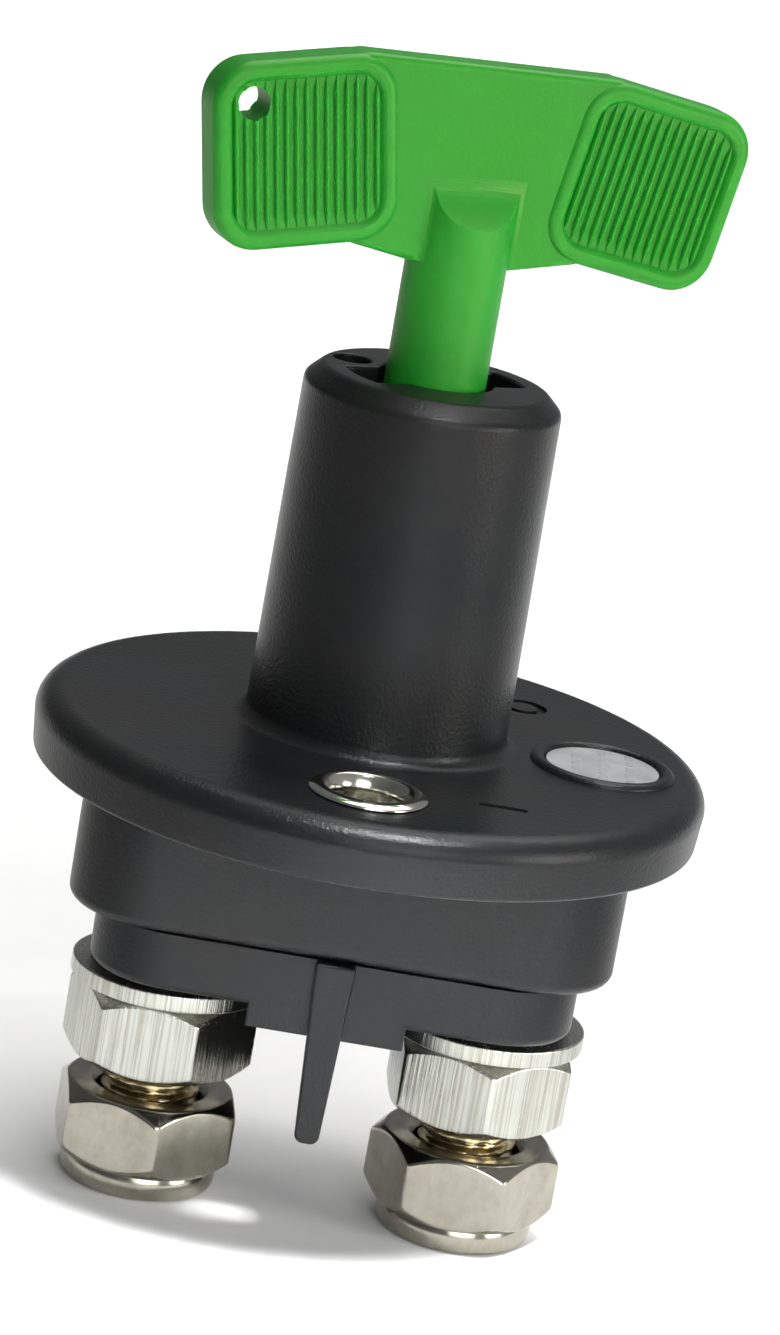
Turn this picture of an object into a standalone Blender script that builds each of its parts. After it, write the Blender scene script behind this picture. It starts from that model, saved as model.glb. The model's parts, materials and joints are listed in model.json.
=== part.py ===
"""Battery master switch with a removable T-handled key.

Frame: metres, +Z up along the key's axis, +X along the pair of terminal studs,
-Y towards the front fixing eyelet. The origin is on the key's axis, at the height
of the lock nuts' bottom faces.

Rest position: key in, switched off. Turning the key 90 degrees clockwise, seen
from above, drives the plunger down and closes the contacts.
"""

import math

import bmesh
import bpy
from mathutils import Matrix, Vector

MM = 0.001
GAP = 0.3 * MM                      # clearance between pieces that touch

# ---- heights of the terminal stack, from the lock nuts' bottom faces upwards ----
LOCK_NUT_HEIGHT = 10.2 * MM
LOCK_COLLAR_HEIGHT = 3.6 * MM       # round part that holds the nylon ring
BARE_THREAD = 2.7 * MM              # where a cable lug goes
FIXING_NUT_HEIGHT = 7.9 * MM
WASHER_THICKNESS = 1.8 * MM
STUD_SEAL_THICKNESS = 0.7 * MM

FIXING_NUT_Z = LOCK_NUT_HEIGHT + BARE_THREAD
WASHER_Z = FIXING_NUT_Z + FIXING_NUT_HEIGHT + GAP
STUD_SEAL_Z = WASHER_Z + WASHER_THICKNESS + GAP
BASE_Z = STUD_SEAL_Z + STUD_SEAL_THICKNESS + GAP

# ---- terminal base and housing ----
BASE_HEIGHT = 5.9 * MM
SKIRT_HEIGHT = 14.0 * MM
FLANGE_THICKNESS = 6.2 * MM
TOWER_HEIGHT = 35.9 * MM

BASE_TOP_Z = BASE_Z + BASE_HEIGHT
SKIRT_Z = BASE_TOP_Z + GAP
FLANGE_Z = SKIRT_Z + SKIRT_HEIGHT
FLANGE_TOP_Z = FLANGE_Z + FLANGE_THICKNESS
TOWER_TOP_Z = FLANGE_TOP_Z + TOWER_HEIGHT

FLANGE_RADIUS = 33.5 * MM
FLANGE_DRAFT = 0.3 * MM             # how far the rim draws in towards its foot
FLANGE_ROUND = 2.5 * MM
FLANGE_CORE_DEPTH = 2.4 * MM        # hollow moulded into the flange's underside
FLANGE_LAND = 3.6 * MM              # flat ring that meets the panel

TOWER_FOOT_RADIUS = 13.0 * MM
TOWER_TOP_RADIUS = 12.7 * MM
TOWER_FILLET = 1.4 * MM
TOWER_CHAMFER = 1.6 * MM
TOWER_BORE_RADIUS = 10.2 * MM
LEDGE_THICKNESS = 5.0 * MM          # top wall of the tower, which holds the key in
KEY_HOLE_RADIUS = 5.6 * MM
KEY_SLOT_RADIUS = 8.9 * MM
KEY_SLOT_WIDTH = 6.0 * MM
KEY_SLOT_TURN = math.radians(32.0)
CAP_HOLE_RADIUS = 1.9 * MM          # blind hole for a tethered cap
CAP_HOLE_DEPTH = 2.6 * MM
CAP_HOLE_PLACE = (-8.3 * MM, 2.1 * MM)

SKIRT_HALF_LENGTH = 27.2 * MM
SKIRT_HALF_DEPTH = 14.0 * MM
SKIRT_CORNER = 8.6 * MM
SKIRT_WALL = 3.0 * MM
BASE_HALF_LENGTH = 24.2 * MM
BASE_HALF_DEPTH = 12.8 * MM
BASE_CORNER = 8.0 * MM
SPIGOT_HEIGHT = 4.3 * MM            # part of the base that plugs into the skirt
SPIGOT_MARGIN = 1.6 * MM            # how much smaller the spigot is than the cavity
BLOCK_HALF_LENGTH = 7.8 * MM        # raised block between the two terminals
BLOCK_DROP = 2.1 * MM
BARRIER_TOP_HALF = 2.0 * MM
BARRIER_FOOT_HALF = 1.2 * MM
BARRIER_FOOT_Z = 11.4 * MM
BARRIER_FOOT_ROUND = 0.9 * MM

EYELET_SPACING = 45.7 * MM          # between the two fixing screws
EYELET_BORE = 3.7 * MM
EYELET_WALL = 0.45 * MM
EYELET_FLARE = 5.8 * MM

LABEL_PLACE = (22.8 * MM, -0.6 * MM)
LABEL_RADIUS = 5.7 * MM
LABEL_THICKNESS = 0.25 * MM
LABEL_BEAD_RADIUS = 6.55 * MM
LABEL_BEAD_HALF = 0.75 * MM

# ---- terminals ----
STUD_SPACING = 32.4 * MM
STUD_RADIUS = 4.9 * MM              # M10
STUD_HOLE = STUD_RADIUS + GAP
STUD_FOOT_Z = 1.0 * MM
STUD_HEAD_HALF = 6.6 * MM
STUD_HEAD_THICKNESS = 3.0 * MM
NUT_FLATS = 17.0 * MM
NUT_TURNS = {"left": math.radians(53.6), "right": math.radians(37.2)}
LOCK_NUT_TURNS = {"left": math.radians(39.2), "right": math.radians(54.7)}
WASHER_RADIUS = 9.8 * MM
STUD_SEAL_RADIUS = 8.0 * MM
COLLAR_RADIUS = 7.9 * MM
INSERT_RADIUS = 6.7 * MM

# ---- moving parts ----
PRESS_TRAVEL = 3.5 * MM             # plunger's travel over the key's quarter turn
BRIDGE_TRAVEL = 2.7 * MM
RAMP_SWEEP = (math.radians(10.0), math.radians(-78.0))
CAVITY_TOP_Z = FLANGE_Z + 2.2 * MM
SPIGOT_TOP_Z = BASE_TOP_Z + SPIGOT_HEIGHT
CONTACT_Z = SPIGOT_TOP_Z + GAP + STUD_HEAD_THICKNESS
PAD_THICKNESS = 1.0 * MM
PAD_RADIUS = 4.0 * MM
PAD_Z = CONTACT_Z + BRIDGE_TRAVEL + GAP
BRIDGE_Z = PAD_Z + PAD_THICKNESS + GAP
BRIDGE_THICKNESS = 3.0 * MM
BRIDGE_HALF_LENGTH = 21.2 * MM
BRIDGE_HALF_WIDTH = 6.2 * MM
BRIDGE_HOLE = 3.6 * MM
STEM_RADIUS = 3.0 * MM
STEM_FOOT_Z = SPIGOT_TOP_Z + 1.4 * MM
STEM_WELL_RADIUS = 3.6 * MM
STEM_WELL_DEPTH = 3.2 * MM
PLUNGER_HEAD_Z = 60.0 * MM
PLUNGER_HEAD_THICKNESS = 6.2 * MM
PLUNGER_RADIUS = 9.8 * MM
RING_GROOVE_RADIUS = 8.3 * MM
RING_SECTION = 0.65 * MM
SEAT_RADIUS = 8.6 * MM
SEAT_THICKNESS = 3.2 * MM
SEAT_SOCKET_DEPTH = 1.8 * MM
CLIP_RADII = (3.3 * MM, 4.6 * MM)
CLIP_THICKNESS = 0.8 * MM

# ---- key, in its own frame: x along the blade, z up ----
KEY_REST_TURN = math.radians(21.5)
KEY_TIP_Z = PLUNGER_HEAD_Z + PLUNGER_HEAD_THICKNESS + GAP + SEAT_THICKNESS - SEAT_SOCKET_DEPTH + GAP
SHAFT_RADIUS = 4.95 * MM
LUG_RADIUS = 8.4 * MM
LUG_HALF_WIDTH = 1.2 * MM
LUG_HEIGHT = 4.0 * MM
LUG_TOP_Z = TOWER_TOP_Z - LEDGE_THICKNESS - GAP
BLADE_FOOT_Z = FLANGE_TOP_Z + 47.2 * MM
BLADE_TOP_Z = FLANGE_TOP_Z + 66.9 * MM
BLADE_HALF = 2.1 * MM               # half the thickness between the wings
BLADE_BEND_X = 12.84 * MM           # where the top edge bends down into a wing
WING_DROOP = math.radians(10.0)
WING_HALF = 2.5 * MM                # half the thickness at a wing's rim
WING_LENGTH = 15.8 * MM
WING_HEIGHT = 18.2 * MM
WING_INSET = 2.7 * MM               # how far the rim reaches in past the bend
WING_CORNER = 4.2 * MM
PAD_RECESS = 0.5 * MM
RIM_WIDTH = 1.7 * MM
RECESS_CORNER = 2.6 * MM
LANYARD_HOLE_RADIUS = 1.6 * MM
LANYARD_PLACE = (11.7 * MM, 4.0 * MM)   # along and down the left wing

ROUND = 64                          # sides of the flange and tower
SMALL_ROUND = 32                    # sides of nuts, washers, holes and rings


# ---------------------------------------------------------------- helpers

def clear_scene():
    for item in list(bpy.data.objects):
        bpy.data.objects.remove(item)


def make_material(name, colour, roughness, metallic=0.0):
    material = bpy.data.materials.new(name)
    material.use_nodes = True
    shader = material.node_tree.nodes["Principled BSDF"]
    shader.inputs["Base Color"].default_value = (*colour, 1.0)
    shader.inputs["Roughness"].default_value = roughness
    shader.inputs["Metallic"].default_value = metallic
    material.diffuse_color = (*colour, 1.0)
    return material


def make_object(name, bm):
    """Turn a bmesh into a linked object with its faces pointing out."""
    bmesh.ops.recalc_face_normals(bm, faces=bm.faces)
    mesh = bpy.data.meshes.new(name)
    bm.to_mesh(mesh)
    bm.free()
    thing = bpy.data.objects.new(name, mesh)
    bpy.context.collection.objects.link(thing)
    return thing


def finish(thing, material, crease=30.0):
    """Give a finished piece its one material and its smooth shading."""
    thing.data.materials.clear()
    thing.data.materials.append(material)
    thing.data.shade_smooth()
    thing.data.set_sharp_from_angle(angle=math.radians(crease))
    return thing


def turned(name, profile, sides=ROUND):
    """Spin a closed profile of (radius, height) points about Z into a solid."""
    bm = bmesh.new()
    rings = []
    for radius, height in profile:
        if radius < 1e-9:
            rings.append([bm.verts.new((0.0, 0.0, height))] * sides)
            continue
        ring = []
        for step in range(sides):
            angle = 2.0 * math.pi * step / sides
            ring.append(bm.verts.new((radius * math.cos(angle), radius * math.sin(angle), height)))
        rings.append(ring)
    for lower, upper in zip(rings, rings[1:] + rings[:1]):
        for step in range(sides):
            after = (step + 1) % sides
            corners = [lower[step], lower[after], upper[after], upper[step]]
            unique = list(dict.fromkeys(corners))
            if len(unique) > 2:
                bm.faces.new(unique)
    return make_object(name, bm)


def tube_profile(inner, outer, bottom, top):
    return [(inner, bottom), (outer, bottom), (outer, top), (inner, top)]


def disc_profile(radius, bottom, top):
    return [(0.0, bottom), (radius, bottom), (radius, top), (0.0, top)]


def prism(name, outline, bottom, top):
    """Extrude a flat outline of (x, y) points from one height to another."""
    bm = bmesh.new()
    lower = [bm.verts.new((x, y, bottom)) for x, y in outline]
    upper = [bm.verts.new((x, y, top)) for x, y in outline]
    bm.faces.new(lower)
    bm.faces.new(upper)
    count = len(outline)
    for step in range(count):
        after = (step + 1) % count
        bm.faces.new((lower[step], lower[after], upper[after], upper[step]))
    return make_object(name, bm)


def arc(centre, radius, start, end, steps):
    """Points on an arc, from one angle to another, both ends included."""
    points = []
    for step in range(steps + 1):
        angle = start + (end - start) * step / steps
        points.append((centre[0] + radius * math.cos(angle), centre[1] + radius * math.sin(angle)))
    return points


def rounded_rectangle(half_x, half_y, radius, steps=6):
    points = []
    for quarter in range(4):
        side_x = 1 if quarter in (0, 3) else -1
        side_y = 1 if quarter in (0, 1) else -1
        centre = (side_x * (half_x - radius), side_y * (half_y - radius))
        start = quarter * math.pi / 2.0
        points += arc(centre, radius, start, start + math.pi / 2.0, steps)
    return points


def round_corner(before, corner, after, radius, steps=6):
    """Points that round one corner of an outline with a tangent arc."""
    corner = Vector(corner)
    to_before = (Vector(before) - corner).normalized()
    to_after = (Vector(after) - corner).normalized()
    half = to_before.angle(to_after) / 2.0
    centre = corner + (to_before + to_after).normalized() * radius / math.sin(half)
    first = corner + to_before * radius / math.tan(half) - centre
    last = corner + to_after * radius / math.tan(half) - centre
    sweep = first.angle_signed(last)
    points = []
    for step in range(steps + 1):
        turn = -sweep * step / steps
        spoke = Matrix.Rotation(turn, 2) @ first
        points.append(tuple(centre + spoke))
    return points


def combine(target, other, operation):
    """Join or cut one solid with another, and keep only the result."""
    modifier = target.modifiers.new(operation.title(), "BOOLEAN")
    modifier.operation = operation
    modifier.object = other
    bpy.context.view_layer.update()
    depsgraph = bpy.context.evaluated_depsgraph_get()
    result = bpy.data.meshes.new_from_object(target.evaluated_get(depsgraph))
    target.modifiers.clear()
    target.data = result
    bpy.data.objects.remove(other)
    return target


def shift(thing, offset):
    thing.data.transform(Matrix.Translation(offset))
    return thing


def turn(thing, angle, axis="Z"):
    thing.data.transform(Matrix.Rotation(angle, 4, axis))
    return thing


def coil(name, radius, wire, bottom, top, turns, steps=12, sides=5):
    """A helical spring of round wire, with its two ends closed."""
    bm = bmesh.new()
    rise = top - bottom - 2.0 * wire
    rings = []
    total = int(turns * steps)
    for step in range(total + 1):
        angle = 2.0 * math.pi * step / steps
        height = bottom + wire + rise * step / total
        out = Vector((math.cos(angle), math.sin(angle), 0.0))
        ring = []
        for side in range(sides):
            around = 2.0 * math.pi * side / sides
            place = out * (radius + wire * math.cos(around))
            place.z = height + wire * math.sin(around)
            ring.append(bm.verts.new(place))
        rings.append(ring)
    for lower, upper in zip(rings, rings[1:]):
        for side in range(sides):
            after = (side + 1) % sides
            bm.faces.new((lower[side], lower[after], upper[after], upper[side]))
    bm.faces.new(rings[0])
    bm.faces.new(rings[-1])
    return make_object(name, bm)


# ---------------------------------------------------------------- housing

def flange_and_tower():
    """Outside of the flange and tower, turned as one solid."""
    foot = FLANGE_RADIUS - FLANGE_DRAFT
    edge = FLANGE_RADIUS - FLANGE_ROUND
    profile = [(0.0, FLANGE_Z), (foot, FLANGE_Z)]
    profile += arc((edge, FLANGE_TOP_Z - FLANGE_ROUND), FLANGE_ROUND, 0.0, math.pi / 2.0, 5)
    fillet_centre = (TOWER_FOOT_RADIUS + TOWER_FILLET, FLANGE_TOP_Z + TOWER_FILLET)
    profile += arc(fillet_centre, TOWER_FILLET, -math.pi / 2.0, -math.pi, 3)
    profile += [
        (TOWER_TOP_RADIUS, TOWER_TOP_Z - TOWER_CHAMFER),
        (TOWER_TOP_RADIUS - TOWER_CHAMFER * 0.8, TOWER_TOP_Z),
        (0.0, TOWER_TOP_Z),
    ]
    return turned("housing", profile)


def underside_core():
    """Shallow hollow under the flange, leaving a land, the skirt and the screw bosses."""
    reach = FLANGE_RADIUS - FLANGE_DRAFT - FLANGE_LAND
    low = FLANGE_Z - 1.0 * MM
    high = FLANGE_Z + FLANGE_CORE_DEPTH
    core = turned("core", disc_profile(reach, low, high))
    margin = 1.2 * MM
    outline = rounded_rectangle(SKIRT_HALF_LENGTH + margin, SKIRT_HALF_DEPTH + margin, SKIRT_CORNER)
    combine(core, prism("skirt_space", outline, low - MM, high + MM), "DIFFERENCE")
    half = EYELET_FLARE + 1.4 * MM
    for side in (-1, 1):
        near = side * SKIRT_HALF_DEPTH / 2.0
        far = side * (FLANGE_RADIUS + MM)
        bridge = [(-half, near), (half, near), (half, far), (-half, far)]
        combine(core, prism("screw_boss", bridge, low - MM, high + MM), "DIFFERENCE")
    return core


def ledge_opening():
    """Round hole for the key's shaft, crossed by the slot for its lugs."""
    low = TOWER_TOP_Z - LEDGE_THICKNESS - MM
    high = TOWER_TOP_Z + MM
    half = KEY_SLOT_WIDTH / 2.0
    swing = math.asin(half / KEY_SLOT_RADIUS)
    outline = arc((0.0, 0.0), KEY_SLOT_RADIUS, -swing, swing, 6)
    outline += arc((0.0, 0.0), KEY_SLOT_RADIUS, math.pi - swing, math.pi + swing, 6)
    slot = turn(prism("slot", outline, low, high), KEY_SLOT_TURN)
    hole = turned("hole", disc_profile(KEY_HOLE_RADIUS, low - MM, high + MM))
    return combine(hole, slot, "UNION")


def lug_ramp(start_turn):
    """Helical wedge under the ledge that presses a lug down as the key turns."""
    steps = 10
    top = TOWER_TOP_Z - LEDGE_THICKNESS + 1.0 * MM
    underside = TOWER_TOP_Z - LEDGE_THICKNESS
    inner = KEY_HOLE_RADIUS + 0.2 * MM
    outer = TOWER_BORE_RADIUS + 0.6 * MM
    drop_per_radian = PRESS_TRAVEL / (math.pi / 2.0)
    bm = bmesh.new()
    sections = []
    for step in range(steps + 1):
        angle = RAMP_SWEEP[0] + (RAMP_SWEEP[1] - RAMP_SWEEP[0]) * step / steps
        height = underside - drop_per_radian * (RAMP_SWEEP[0] - angle)
        section = []
        for radius, z in ((inner, height), (outer, height), (outer, top), (inner, top)):
            place = (radius * math.cos(angle + start_turn), radius * math.sin(angle + start_turn), z)
            section.append(bm.verts.new(place))
        sections.append(section)
    for one, two in zip(sections, sections[1:]):
        for side in range(4):
            after = (side + 1) % 4
            bm.faces.new((one[side], one[after], two[after], two[side]))
    bm.faces.new(sections[0])
    bm.faces.new(sections[-1])
    return make_object("ramp", bm)


def make_housing(material):
    housing = flange_and_tower()
    skirt = rounded_rectangle(SKIRT_HALF_LENGTH, SKIRT_HALF_DEPTH, SKIRT_CORNER)
    combine(housing, underside_core(), "DIFFERENCE")
    combine(housing, prism("skirt", skirt, SKIRT_Z, FLANGE_Z + 3.0 * MM), "UNION")

    cavity = rounded_rectangle(
        SKIRT_HALF_LENGTH - SKIRT_WALL, SKIRT_HALF_DEPTH - SKIRT_WALL, SKIRT_CORNER - SKIRT_WALL)
    combine(housing, prism("cavity", cavity, SKIRT_Z - MM, CAVITY_TOP_Z), "DIFFERENCE")
    bore_top = TOWER_TOP_Z - LEDGE_THICKNESS
    bore = turned("bore", disc_profile(TOWER_BORE_RADIUS, SKIRT_Z + MM, bore_top))
    combine(housing, bore, "DIFFERENCE")
    for start_turn in (0.0, math.pi):
        combine(housing, lug_ramp(start_turn), "UNION")
    combine(housing, ledge_opening(), "DIFFERENCE")

    cap_hole = disc_profile(CAP_HOLE_RADIUS, TOWER_TOP_Z - CAP_HOLE_DEPTH, TOWER_TOP_Z + MM)
    combine(housing, shift(turned("cap_hole", cap_hole, 24), (*CAP_HOLE_PLACE, 0.0)), "DIFFERENCE")

    sleeve = EYELET_BORE + EYELET_WALL + GAP
    for side in (-1, 1):
        profile = [
            (0.0, FLANGE_Z - MM), (EYELET_FLARE, FLANGE_Z - MM), (EYELET_FLARE, FLANGE_Z + 1.1 * MM),
            (sleeve, FLANGE_Z + 1.1 * MM), (sleeve, FLANGE_TOP_Z + MM), (0.0, FLANGE_TOP_Z + MM),
        ]
        hole = shift(turned("hole", profile, SMALL_ROUND), (0.0, side * EYELET_SPACING / 2.0, 0.0))
        combine(housing, hole, "DIFFERENCE")

    bead_top = FLANGE_TOP_Z + 0.6 * MM
    bead = [
        (LABEL_BEAD_RADIUS - LABEL_BEAD_HALF, FLANGE_TOP_Z - 0.5 * MM),
        (LABEL_BEAD_RADIUS + LABEL_BEAD_HALF, FLANGE_TOP_Z - 0.5 * MM),
        (LABEL_BEAD_RADIUS + LABEL_BEAD_HALF, FLANGE_TOP_Z + 0.2 * MM),
        (LABEL_BEAD_RADIUS + 0.3 * MM, bead_top),
        (LABEL_BEAD_RADIUS - 0.3 * MM, bead_top),
        (LABEL_BEAD_RADIUS - LABEL_BEAD_HALF, FLANGE_TOP_Z + 0.2 * MM),
    ]
    combine(housing, shift(turned("bead", bead, SMALL_ROUND), (*LABEL_PLACE, 0.0)), "UNION")
    pocket = disc_profile(LABEL_RADIUS + GAP, FLANGE_TOP_Z - GAP, FLANGE_TOP_Z + 2.0 * MM)
    combine(housing, shift(turned("pocket", pocket, SMALL_ROUND), (*LABEL_PLACE, 0.0)), "DIFFERENCE")
    return finish(housing, material)


def make_eyelet(name, side, material):
    """Rolled metal eyelet that lines one fixing hole."""
    inner = EYELET_BORE
    outer = EYELET_BORE + EYELET_WALL
    top = FLANGE_TOP_Z + GAP
    foot = FLANGE_Z + 0.15 * MM
    profile = [
        (inner, foot), (EYELET_FLARE - 0.7 * MM, foot), (EYELET_FLARE - 0.7 * MM, foot + 0.5 * MM),
        (outer, foot + 0.5 * MM), (outer, top), (EYELET_FLARE, top), (EYELET_FLARE, top + 0.25 * MM),
        (EYELET_FLARE - 0.9 * MM, top + 0.6 * MM), (inner + 0.5 * MM, top + 0.45 * MM),
        (inner, top - 0.4 * MM),
    ]
    eyelet = turned(name, profile, SMALL_ROUND)
    eyelet.location = (0.0, side * EYELET_SPACING / 2.0, 0.0)
    return finish(eyelet, material)


def make_label(material):
    label = turned("rating_label", disc_profile(LABEL_RADIUS, 0.0, LABEL_THICKNESS), SMALL_ROUND)
    label.location = (*LABEL_PLACE, FLANGE_TOP_Z)
    return finish(label, material)


# ---------------------------------------------------------------- terminal base

def barrier_outline():
    """Section of the barrier rib, seen along Y: wide at the base, rounded at its foot."""
    top = BASE_TOP_Z
    foot = BARRIER_FOOT_Z
    right = round_corner((BARRIER_TOP_HALF, top), (BARRIER_FOOT_HALF, foot),
                         (-BARRIER_FOOT_HALF, foot), BARRIER_FOOT_ROUND, 4)
    left = [(-x, z) for x, z in reversed(right)]
    return [(BARRIER_TOP_HALF, top)] + right + left + [(-BARRIER_TOP_HALF, top)]


def make_terminal_base(material):
    outline = rounded_rectangle(BASE_HALF_LENGTH, BASE_HALF_DEPTH, BASE_CORNER)
    base = prism("terminal_base", outline, BASE_Z, BASE_TOP_Z)
    inset = SKIRT_WALL + SPIGOT_MARGIN
    spigot = rounded_rectangle(SKIRT_HALF_LENGTH - inset, SKIRT_HALF_DEPTH - inset, SKIRT_CORNER - inset)
    combine(base, prism("spigot", spigot, BASE_TOP_Z - MM, SPIGOT_TOP_Z), "UNION")

    low = BASE_Z - BLOCK_DROP
    half_depth = BASE_HALF_DEPTH - 0.02 * MM
    block = [(-BLOCK_HALF_LENGTH, -half_depth), (BLOCK_HALF_LENGTH, -half_depth),
             (BLOCK_HALF_LENGTH, half_depth), (-BLOCK_HALF_LENGTH, half_depth)]
    block = prism("block", block, low, BASE_Z + MM)
    for side in (-1, 1):
        room = turned("washer_room", disc_profile(WASHER_RADIUS + GAP, low - MM, BASE_Z), SMALL_ROUND)
        combine(block, shift(room, (side * STUD_SPACING / 2.0, 0.0, 0.0)), "DIFFERENCE")
    combine(base, block, "UNION")

    depth = SKIRT_HALF_DEPTH
    barrier = turn(prism("barrier", barrier_outline(), -depth, depth), math.pi / 2.0, "X")
    combine(base, barrier, "UNION")

    for side in (-1, 1):
        hole = turned("hole", disc_profile(STUD_HOLE, BASE_Z - MM, SPIGOT_TOP_Z + MM), SMALL_ROUND)
        shift(hole, (side * STUD_SPACING / 2.0, 0.0, 0.0))
        combine(base, hole, "DIFFERENCE")
    well_floor = SPIGOT_TOP_Z - STEM_WELL_DEPTH
    well = turned("well", disc_profile(STEM_WELL_RADIUS, well_floor, SPIGOT_TOP_Z + MM), 24)
    combine(base, well, "DIFFERENCE")
    return finish(base, material)


def make_base_seal(material):
    """Rubber ring round the spigot, under the skirt's inner wall."""
    wall = SKIRT_WALL
    outer = wall + GAP
    inner = wall + SPIGOT_MARGIN - GAP
    bottom = BASE_TOP_Z + GAP
    top = bottom + 1.8 * MM
    outline = rounded_rectangle(SKIRT_HALF_LENGTH - outer, SKIRT_HALF_DEPTH - outer, SKIRT_CORNER - outer)
    seal = prism("base_seal", outline, bottom, top)
    outline = rounded_rectangle(SKIRT_HALF_LENGTH - inner, SKIRT_HALF_DEPTH - inner, SKIRT_CORNER - inner)
    combine(seal, prism("inside", outline, bottom - MM, top + MM), "DIFFERENCE")
    return finish(seal, material)


# ---------------------------------------------------------------- terminals

def hexagon(name, bottom, top, chamfer_rise):
    """Hexagonal prism with its corners chamfered at both ends, as a nut is turned."""
    corner = NUT_FLATS / math.sqrt(3.0)
    flat = NUT_FLATS / 2.0
    outline = arc((0.0, 0.0), corner, 0.0, 2.0 * math.pi * 5.0 / 6.0, 5)
    body = prism(name, outline, bottom, top)
    overlap = corner - flat
    profile = [
        (0.0, bottom), (flat - 0.2 * MM, bottom), (flat + overlap, bottom + chamfer_rise),
        (flat + overlap, top - chamfer_rise), (flat - 0.2 * MM, top), (0.0, top),
    ]
    return combine(body, turned("chamfer", profile, SMALL_ROUND + 4), "INTERSECT")


def make_stud(name, material):
    """Threaded stud with a square head that is the fixed contact."""
    profile = [
        (0.0, STUD_FOOT_Z), (STUD_RADIUS - 0.8 * MM, STUD_FOOT_Z), (STUD_RADIUS, STUD_FOOT_Z + 0.8 * MM),
        (STUD_RADIUS, SPIGOT_TOP_Z + MM), (0.0, SPIGOT_TOP_Z + MM),
    ]
    stud = turned(name, profile, SMALL_ROUND)
    outline = rounded_rectangle(STUD_HEAD_HALF, STUD_HEAD_HALF, 1.2 * MM, 3)
    combine(stud, prism("head", outline, SPIGOT_TOP_Z + GAP, CONTACT_Z), "UNION")
    return finish(stud, material)


def make_fixing_nut(name, material):
    bottom = FIXING_NUT_Z
    top = bottom + FIXING_NUT_HEIGHT
    nut = hexagon(name, bottom, top, 1.1 * MM)
    hole = turned("hole", disc_profile(STUD_HOLE, bottom - MM, top + MM), SMALL_ROUND)
    return finish(combine(nut, hole, "DIFFERENCE"), material)


def make_lock_nut(name, material):
    """Hexagonal nut whose round collar is rolled over a nylon ring."""
    hex_bottom = LOCK_COLLAR_HEIGHT - 1.1 * MM
    nut = hexagon(name, hex_bottom, LOCK_NUT_HEIGHT, 1.3 * MM)
    edge = 1.6 * MM
    collar = [(0.0, 0.0), (COLLAR_RADIUS - edge, 0.0)]
    collar += arc((COLLAR_RADIUS - edge, edge), edge, -math.pi / 3.0, 0.0, 3)
    collar += [(COLLAR_RADIUS, hex_bottom + MM), (0.0, hex_bottom + MM)]
    combine(nut, turned("collar", collar, SMALL_ROUND), "UNION")
    lip = INSERT_RADIUS - 0.7 * MM
    pocket = INSERT_RADIUS + GAP
    hole = [
        (0.0, -MM), (lip, -MM), (lip, 0.7 * MM), (pocket, 0.7 * MM), (pocket, 3.3 * MM),
        (STUD_HOLE, 3.3 * MM), (STUD_HOLE, LOCK_NUT_HEIGHT + MM), (0.0, LOCK_NUT_HEIGHT + MM),
    ]
    return finish(combine(nut, turned("hole", hole, SMALL_ROUND), "DIFFERENCE"), material)


def make_terminal(side_name, side, metals):
    """Everything stacked on one stud, from its contact head down to the lock nut."""
    place = (side * STUD_SPACING / 2.0, 0.0, 0.0)
    seal_top = STUD_SEAL_Z + STUD_SEAL_THICKNESS
    washer_top = WASHER_Z + WASHER_THICKNESS
    stud = make_stud("stud_" + side_name, metals["plated_brass"])
    seal = turned("stud_seal_" + side_name,
                  tube_profile(STUD_HOLE, STUD_SEAL_RADIUS, STUD_SEAL_Z, seal_top), SMALL_ROUND)
    finish(seal, metals["rubber"])
    washer = turned("washer_" + side_name,
                    tube_profile(STUD_HOLE, WASHER_RADIUS, WASHER_Z, washer_top), SMALL_ROUND)
    finish(washer, metals["zinc"])
    fixing_nut = make_fixing_nut("fixing_nut_" + side_name, metals["zinc"])
    fixing_nut.rotation_euler.z = NUT_TURNS[side_name]
    lock_nut = make_lock_nut("lock_nut_" + side_name, metals["steel"])
    lock_nut.rotation_euler.z = LOCK_NUT_TURNS[side_name]
    insert = turned("lock_insert_" + side_name,
                    tube_profile(STUD_HOLE, INSERT_RADIUS, 1.0 * MM, 3.0 * MM), SMALL_ROUND)
    finish(insert, metals["nylon"])
    for piece in (stud, seal, washer, fixing_nut, lock_nut, insert):
        piece.location = place


# ---------------------------------------------------------------- contacts and drive

def make_bridge(material):
    """Copper bar that joins the two studs when it is pressed down."""
    outline = rounded_rectangle(BRIDGE_HALF_LENGTH, BRIDGE_HALF_WIDTH, 2.0 * MM, 4)
    bridge = prism("contact_bridge", outline, BRIDGE_Z, BRIDGE_Z + BRIDGE_THICKNESS)
    hole = turned("hole", disc_profile(BRIDGE_HOLE, BRIDGE_Z - MM, BRIDGE_Z + 5.0 * MM), 24)
    return finish(combine(bridge, hole, "DIFFERENCE"), material)


def make_pad(name, side, material):
    profile = [(0.0, 0.0), (PAD_RADIUS - 0.4 * MM, 0.0), (PAD_RADIUS, 0.4 * MM),
               (PAD_RADIUS, PAD_THICKNESS), (0.0, PAD_THICKNESS)]
    pad = turned(name, profile, 24)
    pad.location = (side * STUD_SPACING / 2.0, 0.0, PAD_Z)
    return finish(pad, material)


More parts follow.
